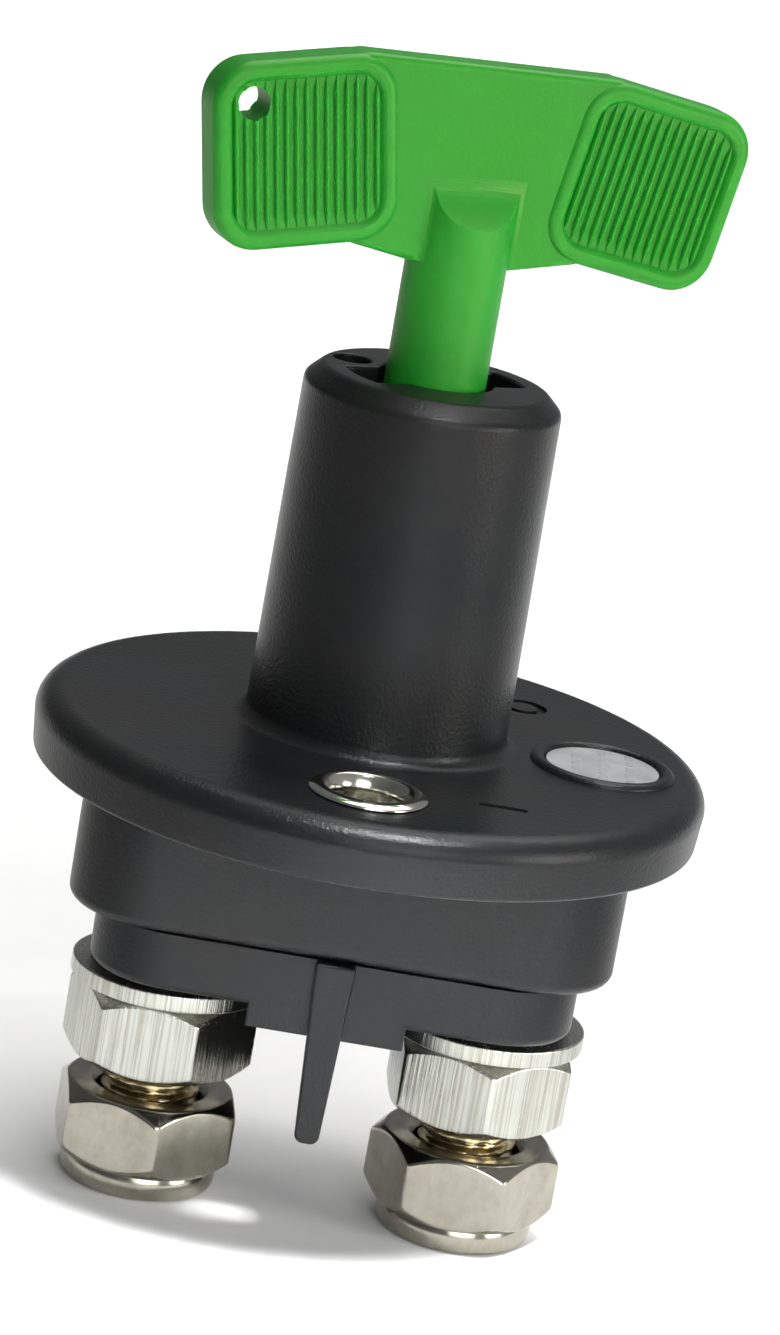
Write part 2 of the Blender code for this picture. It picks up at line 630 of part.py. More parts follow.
def make_plunger(material):
    """Stepped plunger: its head seals the tower, its stem guides the bridge."""
    head_top = PLUNGER_HEAD_Z + PLUNGER_HEAD_THICKNESS
    groove_low = PLUNGER_HEAD_Z + 2.2 * MM
    groove_high = groove_low + 2.0 * MM
    profile = [
        (0.0, STEM_FOOT_Z), (STEM_RADIUS - 0.4 * MM, STEM_FOOT_Z), (STEM_RADIUS, STEM_FOOT_Z + 0.4 * MM),
        (STEM_RADIUS, PLUNGER_HEAD_Z), (PLUNGER_RADIUS, PLUNGER_HEAD_Z), (PLUNGER_RADIUS, groove_low),
        (RING_GROOVE_RADIUS, groove_low), (RING_GROOVE_RADIUS, groove_high),
        (PLUNGER_RADIUS, groove_high), (PLUNGER_RADIUS, head_top), (0.0, head_top),
    ]
    return finish(turned("plunger", profile, SMALL_ROUND), material)


def make_plunger_seal(material):
    """Rubber ring in the plunger's groove."""
    centre = (RING_GROOVE_RADIUS + GAP + RING_SECTION, PLUNGER_HEAD_Z + 3.2 * MM)
    section = arc(centre, RING_SECTION, 0.0, 2.0 * math.pi * 5.0 / 6.0, 5)
    return finish(turned("plunger_seal", section, SMALL_ROUND), material)


def make_clip(material):
    """Spring clip on the stem, which holds the bridge on."""
    top = BRIDGE_Z - GAP
    inner, outer = CLIP_RADII
    clip = turned("plunger_clip", tube_profile(inner, outer, top - CLIP_THICKNESS, top), 24)
    half = 1.6 * MM
    mouth = prism("mouth", [(0.0, -half), (2.0 * outer, -half), (2.0 * outer, half), (0.0, half)],
                  top - 2.0 * MM, top + MM)
    return finish(combine(clip, mouth, "DIFFERENCE"), material)


def make_key_seat(material):
    """Cup that turns with the key on top of the plunger."""
    bottom = PLUNGER_HEAD_Z + PLUNGER_HEAD_THICKNESS + GAP
    top = bottom + SEAT_THICKNESS
    seat = turned("key_seat", disc_profile(SEAT_RADIUS, bottom, top), SMALL_ROUND)
    socket = disc_profile(SHAFT_RADIUS + GAP, top - SEAT_SOCKET_DEPTH, top + MM)
    combine(seat, turned("socket", socket, SMALL_ROUND), "DIFFERENCE")
    return finish(seat, material)


# ---------------------------------------------------------------- key

def wing_point(along, down):
    """A point on the right wing, from its bend: along the top edge and down from it."""
    cos_droop = math.cos(WING_DROOP)
    sin_droop = math.sin(WING_DROOP)
    x = BLADE_BEND_X + along * cos_droop - down * sin_droop
    z = BLADE_TOP_Z - along * sin_droop - down * cos_droop
    return (x, z)


def wing_outline():
    level = WING_INSET * math.tan(WING_DROOP)       # where the rim meets the level top edge
    corners = [
        wing_point(0.0, 0.0), wing_point(WING_LENGTH, 0.0), wing_point(WING_LENGTH, WING_HEIGHT),
        wing_point(-WING_INSET, WING_HEIGHT), wing_point(-WING_INSET, level),
    ]
    outline = [corners[0]]
    outline += round_corner(corners[0], corners[1], corners[2], WING_CORNER)
    outline += round_corner(corners[1], corners[2], corners[3], WING_CORNER)
    outline += round_corner(corners[2], corners[3], corners[4], WING_CORNER)
    outline.append(corners[4])
    return outline


def recess_outline():
    left = RIM_WIDTH - WING_INSET
    right = WING_LENGTH - RIM_WIDTH
    low = WING_HEIGHT - RIM_WIDTH
    corners = [wing_point(left, RIM_WIDTH), wing_point(right, RIM_WIDTH),
               wing_point(right, low), wing_point(left, low)]
    outline = []
    for index, corner in enumerate(corners):
        outline += round_corner(corners[index - 1], corner, corners[(index + 1) % 4], RECESS_CORNER, 5)
    return outline


def upright(name, outline, front, back, mirrored=False):
    """Extrude an (x, z) outline through the key's thickness."""
    if mirrored:
        outline = [(-x, z) for x, z in outline]
    solid = prism(name, outline, -back, -front)
    return turn(solid, math.pi / 2.0, "X")


def make_key(material):
    half_foot = SHAFT_RADIUS
    inner_bottom = wing_point(2.3 * MM, WING_HEIGHT - 0.1 * MM)
    inside_low = wing_point(4.0 * MM, WING_HEIGHT - 3.0 * MM)
    inside_high = wing_point(3.0 * MM, 2.0 * MM)
    half = [(BLADE_BEND_X - 0.01 * MM, BLADE_TOP_Z), inside_high, inside_low, inner_bottom,
            (half_foot, BLADE_FOOT_Z)]
    outline = half + [(-x, z) for x, z in reversed(half)]
    key = upright("key", outline, -BLADE_HALF, BLADE_HALF)
    for mirrored in (False, True):
        combine(key, upright("wing", wing_outline(), -WING_HALF, WING_HALF, mirrored), "UNION")
        floor = WING_HALF - PAD_RECESS
        for front, back in ((floor, WING_HALF + MM), (-WING_HALF - MM, -floor)):
            combine(key, upright("recess", recess_outline(), front, back, mirrored), "DIFFERENCE")

    slope_foot = BLADE_FOOT_Z + 3.6 * MM
    slope_top = BLADE_FOOT_Z + 9.0 * MM
    tip = 0.7 * MM
    shaft = [
        (0.0, KEY_TIP_Z), (SHAFT_RADIUS - tip, KEY_TIP_Z), (SHAFT_RADIUS, KEY_TIP_Z + tip),
        (SHAFT_RADIUS, slope_foot), (0.0, slope_top),
    ]
    combine(key, turned("shaft", shaft, SMALL_ROUND), "UNION")
    lugs = [(-LUG_RADIUS, -LUG_HALF_WIDTH), (LUG_RADIUS, -LUG_HALF_WIDTH),
            (LUG_RADIUS, LUG_HALF_WIDTH), (-LUG_RADIUS, LUG_HALF_WIDTH)]
    combine(key, prism("lugs", lugs, LUG_TOP_Z - LUG_HEIGHT, LUG_TOP_Z), "UNION")

    x, z = wing_point(*LANYARD_PLACE)
    hole = turned("hole", disc_profile(LANYARD_HOLE_RADIUS, -5.0 * MM, 5.0 * MM), 24)
    turn(hole, math.pi / 2.0, "X")
    combine(key, shift(hole, (-x, 0.0, z)), "DIFFERENCE")
    key.rotation_euler.z = KEY_REST_TURN
    return finish(key, material)


# ---------------------------------------------------------------- assembly

def main():
    clear_scene()
    black_plastic = make_material("black_plastic", (0.035, 0.035, 0.037), 0.5)
    green_plastic = make_material("green_plastic", (0.03, 0.42, 0.06), 0.38)
    nylon = make_material("nylon", (0.78, 0.76, 0.70), 0.45)
    rubber = make_material("rubber", (0.02, 0.02, 0.02), 0.75)
    zinc = make_material("zinc_plate", (0.72, 0.70, 0.60), 0.3, 1.0)
    steel = make_material("stainless_steel", (0.60, 0.58, 0.53), 0.32, 1.0)
    nickel = make_material("nickel_plate", (0.75, 0.74, 0.70), 0.18, 1.0)
    plated_brass = make_material("plated_brass", (0.72, 0.62, 0.42), 0.3, 1.0)
    copper = make_material("copper", (0.75, 0.38, 0.22), 0.3, 1.0)
    silver = make_material("silver_alloy", (0.82, 0.82, 0.80), 0.25, 1.0)
    foil = make_material("label_foil", (0.80, 0.82, 0.84), 0.35, 0.6)
    spring_steel = make_material("spring_steel", (0.45, 0.45, 0.46), 0.35, 1.0)

    make_housing(black_plastic)
    make_terminal_base(black_plastic)
    make_base_seal(rubber)
    make_eyelet("eyelet_front", -1, nickel)
    make_eyelet("eyelet_rear", 1, nickel)
    make_label(foil)

    metals = {"plated_brass": plated_brass, "zinc": zinc, "steel": steel,
              "nylon": nylon, "rubber": rubber}
    make_terminal("left", -1, metals)
    make_terminal("right", 1, metals)

    make_bridge(copper)
    make_pad("contact_pad_left", -1, silver)
    make_pad("contact_pad_right", 1, silver)
    make_plunger(nylon)
    make_plunger_seal(rubber)
    make_clip(spring_steel)
    spring_low = BRIDGE_Z + BRIDGE_THICKNESS + GAP
    finish(coil("contact_spring", 6.2 * MM, 0.7 * MM, spring_low, PLUNGER_HEAD_Z - GAP, 5.5), spring_steel)
    finish(coil("return_spring", 5.9 * MM, 0.5 * MM, SPIGOT_TOP_Z + GAP, BRIDGE_Z - GAP, 4), spring_steel)
    make_key_seat(nylon)
    make_key(green_plastic)


main()
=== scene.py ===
# %% [markdown]
# # A battery switch with a removable key
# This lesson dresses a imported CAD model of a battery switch. The CAD solids are the frame: they say
# where each piece is, and they stay where they are. Every piece that shows is made again here with
# its small roundings, ribs and threads, and gets a finish that is worked out by nodes.

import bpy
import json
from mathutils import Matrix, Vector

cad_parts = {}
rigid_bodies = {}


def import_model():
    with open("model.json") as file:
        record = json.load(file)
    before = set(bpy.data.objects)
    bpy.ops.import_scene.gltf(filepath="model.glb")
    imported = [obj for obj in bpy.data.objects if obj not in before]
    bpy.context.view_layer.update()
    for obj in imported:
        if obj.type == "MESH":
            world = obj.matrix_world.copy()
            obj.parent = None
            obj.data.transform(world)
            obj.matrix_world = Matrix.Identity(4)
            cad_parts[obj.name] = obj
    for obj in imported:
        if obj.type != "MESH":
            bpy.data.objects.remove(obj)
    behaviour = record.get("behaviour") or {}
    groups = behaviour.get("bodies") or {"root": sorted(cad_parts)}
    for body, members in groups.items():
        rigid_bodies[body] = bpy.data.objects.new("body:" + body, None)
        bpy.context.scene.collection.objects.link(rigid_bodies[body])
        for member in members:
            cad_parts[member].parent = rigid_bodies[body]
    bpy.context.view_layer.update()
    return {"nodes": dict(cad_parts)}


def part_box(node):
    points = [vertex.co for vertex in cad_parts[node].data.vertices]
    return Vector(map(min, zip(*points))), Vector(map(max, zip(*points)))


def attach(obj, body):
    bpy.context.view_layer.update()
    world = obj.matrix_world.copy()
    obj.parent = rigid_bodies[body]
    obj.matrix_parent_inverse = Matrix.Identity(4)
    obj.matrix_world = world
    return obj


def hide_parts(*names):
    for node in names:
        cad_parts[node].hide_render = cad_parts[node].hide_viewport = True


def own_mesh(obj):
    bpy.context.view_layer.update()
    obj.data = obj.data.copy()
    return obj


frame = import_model()

# %% Modules and units
import json
import math

import bmesh
import bpy
from mathutils import Matrix, Vector

MM = 0.001
FULL_TURN = 2.0 * math.pi
QUARTER = math.pi / 2.0
print("shapes are drawn in millimetres and scaled by", MM, "when they are finished")

# %% [markdown]
# ## Measures from the frame
# A switch like this is mostly stacked along one axis, so heights matter most. They are read from the
# CAD solids' boxes, in millimetres, and only the sizes that a box can't tell are typed in.

# %% Measures
def box_mm(node):
    """Lowest and highest corner of a CAD solid, in millimetres."""
    low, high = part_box(node)
    return low / MM, high / MM


def middle_mm(node):
    low, high = box_mm(node)
    return (low + high) / 2.0


SKIRT_FOOT = box_mm("housing")[0].z
TOWER_TOP = box_mm("housing")[1].z
FLANGE_RADIUS = box_mm("housing")[1].x
FLANGE_TOP = box_mm("rating_label")[0].z
FLANGE_FOOT = FLANGE_TOP - 6.2
BASE_TOP = SKIRT_FOOT - 0.3
SPIGOT_TOP = box_mm("terminal_base")[1].z
BARRIER_FOOT = box_mm("terminal_base")[0].z
STUD_PLACE = {side: middle_mm("stud_" + side).x for side in ("left", "right")}
LABEL_PLACE = middle_mm("rating_label")
EYELET_PLACE = {side: middle_mm("eyelet_" + side).y for side in ("front", "rear")}
KEY_TOP = box_mm("key")[1].z
KEY_TIP = box_mm("key")[0].z
print("flange top", round(FLANGE_TOP, 2), "tower top", round(TOWER_TOP, 2), "key top", round(KEY_TOP, 2))

# %% [markdown]
# ## The camera and the studio
# The switch is shown leaning to the right: the camera looks down a little and is rolled about its own
# line of sight. A long lens keeps the two nuts almost the same size.

# %% Camera
CAMERA_PLACE = Vector((-9.25, -478.86, 187.23)) * MM
CAMERA_HEADING = math.radians(1.16)         # to the right of straight back
CAMERA_DIP = math.radians(15.22)            # below level
CAMERA_ROLL = math.radians(9.89)
LENS_MM = 135.9
SENSOR_MM = 36.0                            # along the picture's tall side
NEAREST_SEEN = 0.01

camera_data = bpy.data.cameras.new("camera")
camera_data.sensor_fit = "VERTICAL"
camera_data.sensor_height = SENSOR_MM
camera_data.lens = LENS_MM
camera_data.clip_start = NEAREST_SEEN
camera = bpy.data.objects.new("camera", camera_data)
bpy.context.scene.collection.objects.link(camera)
line_of_sight = Vector((
    math.sin(CAMERA_HEADING) * math.cos(CAMERA_DIP),
    math.cos(CAMERA_HEADING) * math.cos(CAMERA_DIP),
    -math.sin(CAMERA_DIP)))
look = line_of_sight.to_track_quat("-Z", "Y").to_matrix().to_4x4()
camera.matrix_world = Matrix.Translation(CAMERA_PLACE) @ look @ Matrix.Rotation(CAMERA_ROLL, 4, "Z")
bpy.context.scene.camera = camera
print("camera", round(CAMERA_PLACE.length, 3), "m from the switch's foot")

# %% [markdown]
# Five soft lights do the work. The one in front is dim and wide, and the one on the right makes the
# bright stripe down the tower. The camera looks down, so the upright faces of skirt and nuts mirror the
# floor in front of them, and one light lays a tight pool there. The last two whiten the floor behind
# and light the flange from above.

# %% Lights
COOL = (0.97, 0.98, 1.0)
NEUTRAL = (1.0, 0.99, 0.97)
WARM = (1.0, 0.98, 0.94)

LIGHTS = (
    # name, place, what it faces, size in metres, watts, colour, spread in degrees
    ("light_front", (0.24, -0.78, 0.34), (0.0, 0.0, 0.08), 0.60, 0.70, COOL, 60.0),
    ("light_floor", (0.10, -0.30, 0.70), (0.03, -0.10, 0.0), 0.10, 0.36, COOL, 18.0),
    ("light_right", (0.58, -0.26, 0.17), (0.0, 0.0, 0.06), 0.24, 2.1, WARM, 180.0),
    ("light_back", (0.05, 0.60, 1.10), (0.05, 0.95, 0.0), 0.8, 6.5, NEUTRAL, 100.0),
    ("light_above", (0.10, 0.20, 0.62), (0.02, 0.05, 0.0), 0.5, 2.5, NEUTRAL, 180.0),
)


def soft_light(name, place, target, size, power, colour, spread):
    """A square area light that faces a point; a small spread keeps its pool of light tight."""
    data = bpy.data.lights.new(name, "AREA")
    data.shape = "SQUARE"
    data.size = size
    data.energy = power
    data.color = colour
    data.spread = math.radians(spread)
    light = bpy.data.objects.new(name, data)
    bpy.context.scene.collection.objects.link(light)
    light.location = place
    light.rotation_euler = (Vector(target) - Vector(place)).to_track_quat("-Z", "Y").to_euler()
    light.visible_camera = False


for light_row in LIGHTS:
    soft_light(*light_row)
print("lights:", [row[0] for row in LIGHTS])

# %% [markdown]
# The air round the switch is brighter on the right than on the left, as in a studio with a dark wall on
# one side. The world reads its own direction, and a map range turns left and right into two greys.

# %% World
WORLD_LEFT = 0.12
WORLD_RIGHT = 0.38
FAR_LEFT = -0.8                             # X of the directions where the two greys are reached
FAR_RIGHT = 0.9
WORLD_TINT = (0.94, 0.96, 0.98, 1.0)

world = bpy.data.worlds.new("studio")
world.use_nodes = True
air = world.node_tree
direction = air.nodes.new("ShaderNodeTexCoord")
compass = air.nodes.new("ShaderNodeSeparateXYZ")
shade = air.nodes.new("ShaderNodeMapRange")
for socket_name, number in (("From Min", FAR_LEFT), ("From Max", FAR_RIGHT),
                            ("To Min", WORLD_LEFT), ("To Max", WORLD_RIGHT)):
    shade.inputs[socket_name].default_value = number
air.links.new(direction.outputs["Generated"], compass.inputs["Vector"])
air.links.new(compass.outputs["X"], shade.inputs["Value"])
air.links.new(shade.outputs["Result"], air.nodes["Background"].inputs["Strength"])
air.nodes["Background"].inputs["Color"].default_value = WORLD_TINT
bpy.context.scene.world = world
bpy.context.scene.view_settings.view_transform = "Standard"
print("air from", WORLD_LEFT, "on the left to", WORLD_RIGHT, "on the right")

# %% [markdown]
# ## Node helpers
# Materials and Geometry Nodes are both graphs of nodes, so two small helpers serve them all: one adds
# a node and sets its plain values, and one wires two sockets.

# %% Node helpers
def add_node(tree, kind, settings=None, **inputs):
    """Add a node; settings are its own options and inputs are its sockets by name."""
    made = tree.nodes.new(kind)
    for key, value in (settings or {}).items():
        setattr(made, key, value)
    for key, value in inputs.items():
        socket = made.inputs[key.replace("_", " ")]
        if hasattr(value, "is_output"):
            tree.links.new(value, socket)
        else:
            socket.default_value = value
    return made


def maths(tree, operation, first, second=0.0):
    """One arithmetic node; its two inputs share a name, so they are set by place."""
    made = add_node(tree, "ShaderNodeMath", {"operation": operation})
    for place, value in enumerate((first, second)):
        if hasattr(value, "is_output"):
            tree.links.new(value, made.inputs[place])
        else:
            made.inputs[place].default_value = value
    return made.outputs[0]


def span(tree, value, low, high, to_low=0.0, to_high=1.0):
    """Map a range of a value onto another, and hold it there."""
    made = tree.nodes.new("ShaderNodeMapRange")
    tree.links.new(value, made.inputs["Value"])
    for name, number in (("From Min", low), ("From Max", high), ("To Min", to_low), ("To Max", to_high)):
        made.inputs[name].default_value = number
    return made.outputs["Result"]


def blend_colours(tree, factor, first, second):
    """Mix two colours; a mix node has a socket of each type, so the colour ones are picked out."""
    made = add_node(tree, "ShaderNodeMix", {"data_type": "RGBA"})
    tree.links.new(factor, made.inputs["Factor"])
    colour_inputs = [socket for socket in made.inputs if socket.type == "RGBA"]
    for socket, value in zip(colour_inputs, (first, second)):
        socket.default_value = (*value, 1.0)
    return [socket for socket in made.outputs if socket.type == "RGBA"][0]


SOCKET_TYPES = {float: "NodeSocketFloat", int: "NodeSocketInt"}


def new_group(name, kind, outputs, **inputs):
    """An empty node group; each input is a number, which is its default, or the name of its type."""
    group = bpy.data.node_groups.new(name, kind)
    for key, value in inputs.items():
        label = key.replace("_", " ")
        socket_type = SOCKET_TYPES.get(type(value), value)
        socket = group.interface.new_socket(label, in_out="INPUT", socket_type=socket_type)
        if type(value) in SOCKET_TYPES:
            socket.default_value = value
    for label, socket_type in outputs:
        group.interface.new_socket(label, in_out="OUTPUT", socket_type=socket_type)
    return group, group.nodes.new("NodeGroupInput").outputs, group.nodes.new("NodeGroupOutput").inputs


def new_tree(name, **sizes):
    """An empty geometry tree with its named sizes and a material."""
    outputs = [("Geometry", "NodeSocketGeometry")]
    return new_group(name, "GeometryNodeTree", outputs, **sizes, Finish="NodeSocketMaterial")


def end_tree(tree, geometry, given, result):
    """Make instances real and set the finish, as every tree here ends."""
    real = add_node(tree, "GeometryNodeRealizeInstances", Geometry=geometry)
    painted = add_node(tree, "GeometryNodeSetMaterial", Geometry=real.outputs[0], Material=given["Finish"])
    tree.links.new(painted.outputs[0], result["Geometry"])
    return tree


def position_parts(tree):
    """X, Y and Z of each point, as three numbers."""
    position = tree.nodes.new("GeometryNodeInputPosition").outputs[0]
    return add_node(tree, "ShaderNodeSeparateXYZ", Vector=position).outputs


def vector(tree, **parts):
    return add_node(tree, "ShaderNodeCombineXYZ", **parts).outputs[0]


print("helpers ready")

# %% [markdown]
# ## Mesh helpers
# Moulded and turned pieces are drawn as sections. A lathe spins a section into a solid, a loft joins
# stacked outlines, and a ring sweeps a closed section round an outline, which gives a nut its flats and
# its chamfer in one clean net of four-sided faces. Booleans then cut holes and join bosses.

# %% Mesh helpers
def link_piece(name, mesh):
    thing = bpy.data.objects.new(name, mesh)
    bpy.context.scene.collection.objects.link(thing)
    return thing


def from_bmesh(name, bm):
    """A linked piece from a bmesh, with its faces turned outwards."""
    bmesh.ops.recalc_face_normals(bm, faces=bm.faces)
    mesh = bpy.data.meshes.new(name)
    bm.to_mesh(mesh)
    bm.free()
    return link_piece(name, mesh)


def apply_modifiers(thing):
    """Turn a piece's live modifiers into its own plain mesh."""
    bpy.context.view_layer.update()
    depsgraph = bpy.context.evaluated_depsgraph_get()
    mesh = bpy.data.meshes.new_from_object(
        thing.evaluated_get(depsgraph), preserve_all_data_layers=True, depsgraph=depsgraph)
    thing.modifiers.clear()
    thing.data = mesh
    return thing


def combine(target, other, operation):
    """Join or cut one solid with another, and keep only the result."""
    modifier = target.modifiers.new(operation, "BOOLEAN")
    modifier.operation = operation
    modifier.solver = "EXACT"
    modifier.object = other
    apply_modifiers(target)
    bpy.data.objects.remove(other)
    return target


def join(target, *others):
    for other in others:
        combine(target, other, "UNION")
    return target


def cut(target, *others):
    for other in others:
        combine(target, other, "DIFFERENCE")
    return target


def shift(thing, x=0.0, y=0.0, z=0.0):
    thing.data.transform(Matrix.Translation((x, y, z)))
    return thing


def turn(thing, angle, axis="Z"):
    thing.data.transform(Matrix.Rotation(angle, 4, axis))
    return thing


def stack_rings(name, rings):
    """A closed solid from rings of points, one above another, with flat ends."""
    bm = bmesh.new()
    rows = [[bm.verts.new(point) for point in ring] for ring in rings]
    bm.faces.new(rows[0])
    bm.faces.new(rows[-1])
    count = len(rows[0])
    for lower, upper in zip(rows, rows[1:]):
        for place in range(count):
            after = (place + 1) % count
            bm.faces.new((lower[place], lower[after], upper[after], upper[place]))
    return from_bmesh(name, bm)


def circle(radius, sides):
    step = FULL_TURN / sides
    return [(radius * math.cos(step * place), radius * math.sin(step * place)) for place in range(sides)]


def level(outline, height):
    """A flat outline at a height."""
    return [(x, y, height) for x, y in outline]


def lathe(name, profile, sides=192):
    """Spin (radius, height) points about Z; both ends are flat discs."""
    return stack_rings(name, [level(circle(radius, sides), height) for radius, height in profile])


def prism(name, outline, bottom, top):
    return stack_rings(name, [level(outline, bottom), level(outline, top)])


def ring_solid(name, outline, section):
    """Sweep a closed section round an outline; section(reach) gives its (radius, height) points."""
    bm = bmesh.new()
    columns = []
    for x, y in outline:
        reach = math.hypot(x, y)
        columns.append([bm.verts.new((x / reach * radius, y / reach * radius, height))
                        for radius, height in section(reach)])
    count = len(columns[0])
    for one, two in zip(columns, columns[1:] + columns[:1]):
        for place in range(count):
            after = (place + 1) % count
            bm.faces.new((one[place], one[after], two[after], two[place]))
    return from_bmesh(name, bm)


def arc(centre, radius, start, end, steps):
    """Points on an arc, from one angle to another, both ends included."""
    angles = [start + (end - start) * step / steps for step in range(steps + 1)]
    return [(centre[0] + radius * math.cos(a), centre[1] + radius * math.sin(a)) for a in angles]


def rounded_rectangle(half_x, half_y, radius, steps=12):
    points = []
    for quarter, (side_x, side_y) in enumerate(((1, 1), (-1, 1), (-1, -1), (1, -1))):
        centre = (side_x * (half_x - radius), side_y * (half_y - radius))
        start = quarter * QUARTER
        points += arc(centre, radius, start, start + QUARTER, steps)
    return points


def rounded_foot(name, half, corner, edge, foot, top, steps=6):
    """A loft of rounded rectangles that draws in round its lower edge; half is its half sizes."""
    rings = []
    for step in range(steps + 1):
        angle = QUARTER * step / steps
        inset = edge * (1.0 - math.sin(angle))
        outline = rounded_rectangle(half[0] - inset, half[1] - inset, corner - inset)
        rings.append(level(outline, foot + edge * (1.0 - math.cos(angle))))
    rings.append(level(rounded_rectangle(*half, corner), top))
    return stack_rings(name, rings)


def round_corners(corners, radii, steps=8):
    """An outline whose corners are tangent arcs; a radius of 0 leaves a corner sharp."""
    outline = []
    for index, (corner, radius) in enumerate(zip(corners, radii)):
        if radius == 0.0:
            outline.append(corner)
            continue
        here = Vector(corner)
        to_before = (Vector(corners[index - 1]) - here).normalized()
        to_after = (Vector(corners[(index + 1) % len(corners)]) - here).normalized()
        half = to_before.angle(to_after) / 2.0
        centre = here + (to_before + to_after).normalized() * radius / math.sin(half)
        first = here + to_before * radius / math.tan(half) - centre
        sweep = first.angle_signed(here + to_after * radius / math.tan(half) - centre)
        for step in range(steps + 1):
            outline.append(tuple(centre + Matrix.Rotation(-sweep * step / steps, 2) @ first))
    return outline


def soften(points, reach, steps=3):
    """Round each corner of a closed section a little; each gives steps + 1 points."""
    softened = []
    for index, corner in enumerate(points):
        here = Vector(corner)
        before = Vector(points[index - 1]) - here
        after = Vector(points[(index + 1) % len(points)]) - here
        start = here + before * min(0.45, reach / max(before.length, 1e-6))
        end = here + after * min(0.45, reach / max(after.length, 1e-6))
        for step in range(steps + 1):
            t = step / steps
            place = start * (1 - t) ** 2 + here * 2 * t * (1 - t) + end * t ** 2
            softened.append(tuple(place))
    return softened


def round_edges(thing, width, segments=3, angle=40.0):
    """Round a solid's sharp edges with a bevel."""
    bevel = thing.modifiers.new("bevel", "BEVEL")
    bevel.width = width
    bevel.segments = segments
    bevel.limit_method = "ANGLE"
    bevel.angle_limit = math.radians(angle)
    bevel.miter_outer = "MITER_ARC"
    return apply_modifiers(thing)


print("mesh helpers ready")

# %% [markdown]
# ## Finishing a piece
# Each piece ends the same way. It is scaled to metres, shaded smooth across shallow angles, and given
# weighted normals, so that a large flat face stays flat right up to its rounded edge. Then it is hung on the
# CAD body that carries it, and the CAD solid that it stands for is hidden.

# %% Finish a piece
CREASE = math.radians(35.0)
finished_pieces = []


def finish(thing, material, body, node=None):
    """Scale to metres, smooth, paint, and hang the piece on its body."""
    thing.data.transform(Matrix.Scale(MM, 4))
    thing.data.materials.clear()
    thing.data.materials.append(material)
    thing.data.shade_smooth()
    thing.data.set_sharp_from_angle(angle=CREASE)
    weighted = thing.modifiers.new("weighted", "WEIGHTED_NORMAL")
    weighted.keep_sharp = True
    apply_modifiers(thing)
    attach(thing, body)
    if node:
        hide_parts(node)
    finished_pieces.append(thing)
    print(thing.name, "-", len(thing.data.polygons), "faces, on", body)
    return thing


def repaint(nodes, material):
    """A CAD solid whose shape is right stays, with a better finish."""
    for node in nodes:
        for holder in frame["nodes"][node].material_slots:
            holder.material = material
    print(material.name, "goes on", ", ".join(nodes))


print("pieces are finished with a crease angle of", round(math.degrees(CREASE)), "degrees")

# %% [markdown]
# ## Shared surface effects
# Two effects come back in many finishes. Moulded plastic has a fine spark-eroded grain and a slow
# drift of tone. Metal has drawn lines, long along one direction and fine across it, and faint marks
# from handling. Each is a node group that puts out a height and a mask, and every material sets its
# own sizes on it.

# %% Surface groups
def make_moulded_grain():
    """Fine grain for a bump, and a slow drift of tone, both from object coordinates."""
    group, given, result = new_group(
        "moulded grain", "ShaderNodeTree", [("Height", "NodeSocketFloat"), ("Drift", "NodeSocketFloat")],
        Grain_per_metre=2500.0, Drift_per_metre=60.0)
    place = add_node(group, "ShaderNodeTexCoord").outputs["Object"]
    grain = add_node(group, "ShaderNodeTexNoise", Vector=place, Scale=given["Grain per metre"],
                     Detail=2.0, Roughness=0.6)
    drift = add_node(group, "ShaderNodeTexNoise", Vector=place, Scale=given["Drift per metre"],
                     Detail=3.0, Roughness=0.55)
    group.links.new(grain.outputs["Fac"], result["Height"])
    group.links.new(span(group, drift.outputs["Fac"], 0.35, 0.65), result["Drift"])
    return group


def make_drawn_lines():
    """Lines along Z, fine across it, and a slow mask of handling marks."""
    group, given, result = new_group(
        "drawn lines", "ShaderNodeTree", [("Height", "NodeSocketFloat"), ("Marks", "NodeSocketFloat")],
        Across_per_metre=1800.0, Along_per_metre=40.0, Line_share=0.3)
    place = add_node(group, "ShaderNodeTexCoord").outputs["Object"]
    parts = add_node(group, "ShaderNodeSeparateXYZ", Vector=place).outputs
    rates = {"X": "Across per metre", "Y": "Across per metre", "Z": "Along per metre"}
    scaled = {axis: maths(group, "MULTIPLY", parts[axis], given[rate]) for axis, rate in rates.items()}
    lines = add_node(group, "ShaderNodeTexNoise", Vector=vector(group, **scaled), Scale=1.0,
                     Detail=3.0, Roughness=0.65)
    marks = add_node(group, "ShaderNodeTexNoise", Vector=place, Scale=260.0, Detail=4.0, Roughness=0.6)
    group.links.new(lines.outputs["Fac"], result["Height"])
    cloudy = span(group, marks.outputs["Fac"], 0.4, 0.66)
    lined = span(group, lines.outputs["Fac"], 0.44, 0.60)
    less_cloudy = maths(group, "MULTIPLY", cloudy, maths(group, "SUBTRACT", 1.0, given["Line share"]))
    mask = maths(group, "ADD", less_cloudy, maths(group, "MULTIPLY", lined, given["Line share"]))
    group.links.new(mask, result["Marks"])
    return group


MOULDED_GRAIN = make_moulded_grain()
DRAWN_LINES = make_drawn_lines()
print("groups:", MOULDED_GRAIN.name, "and", DRAWN_LINES.name)

# %% Two families of finish
def new_material(name):
    material = bpy.data.materials.new(name)
    material.use_nodes = True
    tree = material.node_tree
    return material, tree, tree.nodes["Principled BSDF"]


def use_group(tree, group, **inputs):
    return add_node(tree, "ShaderNodeGroup", {"node_tree": group}, **inputs)


def add_bump(tree, shader, height, depth):
    """Raise or sink the surface by a height map whose full step is depth metres."""
    bump = add_node(tree, "ShaderNodeBump", Height=height, Distance=depth, Strength=1.0)
    tree.links.new(bump.outputs["Normal"], shader.inputs["Normal"])


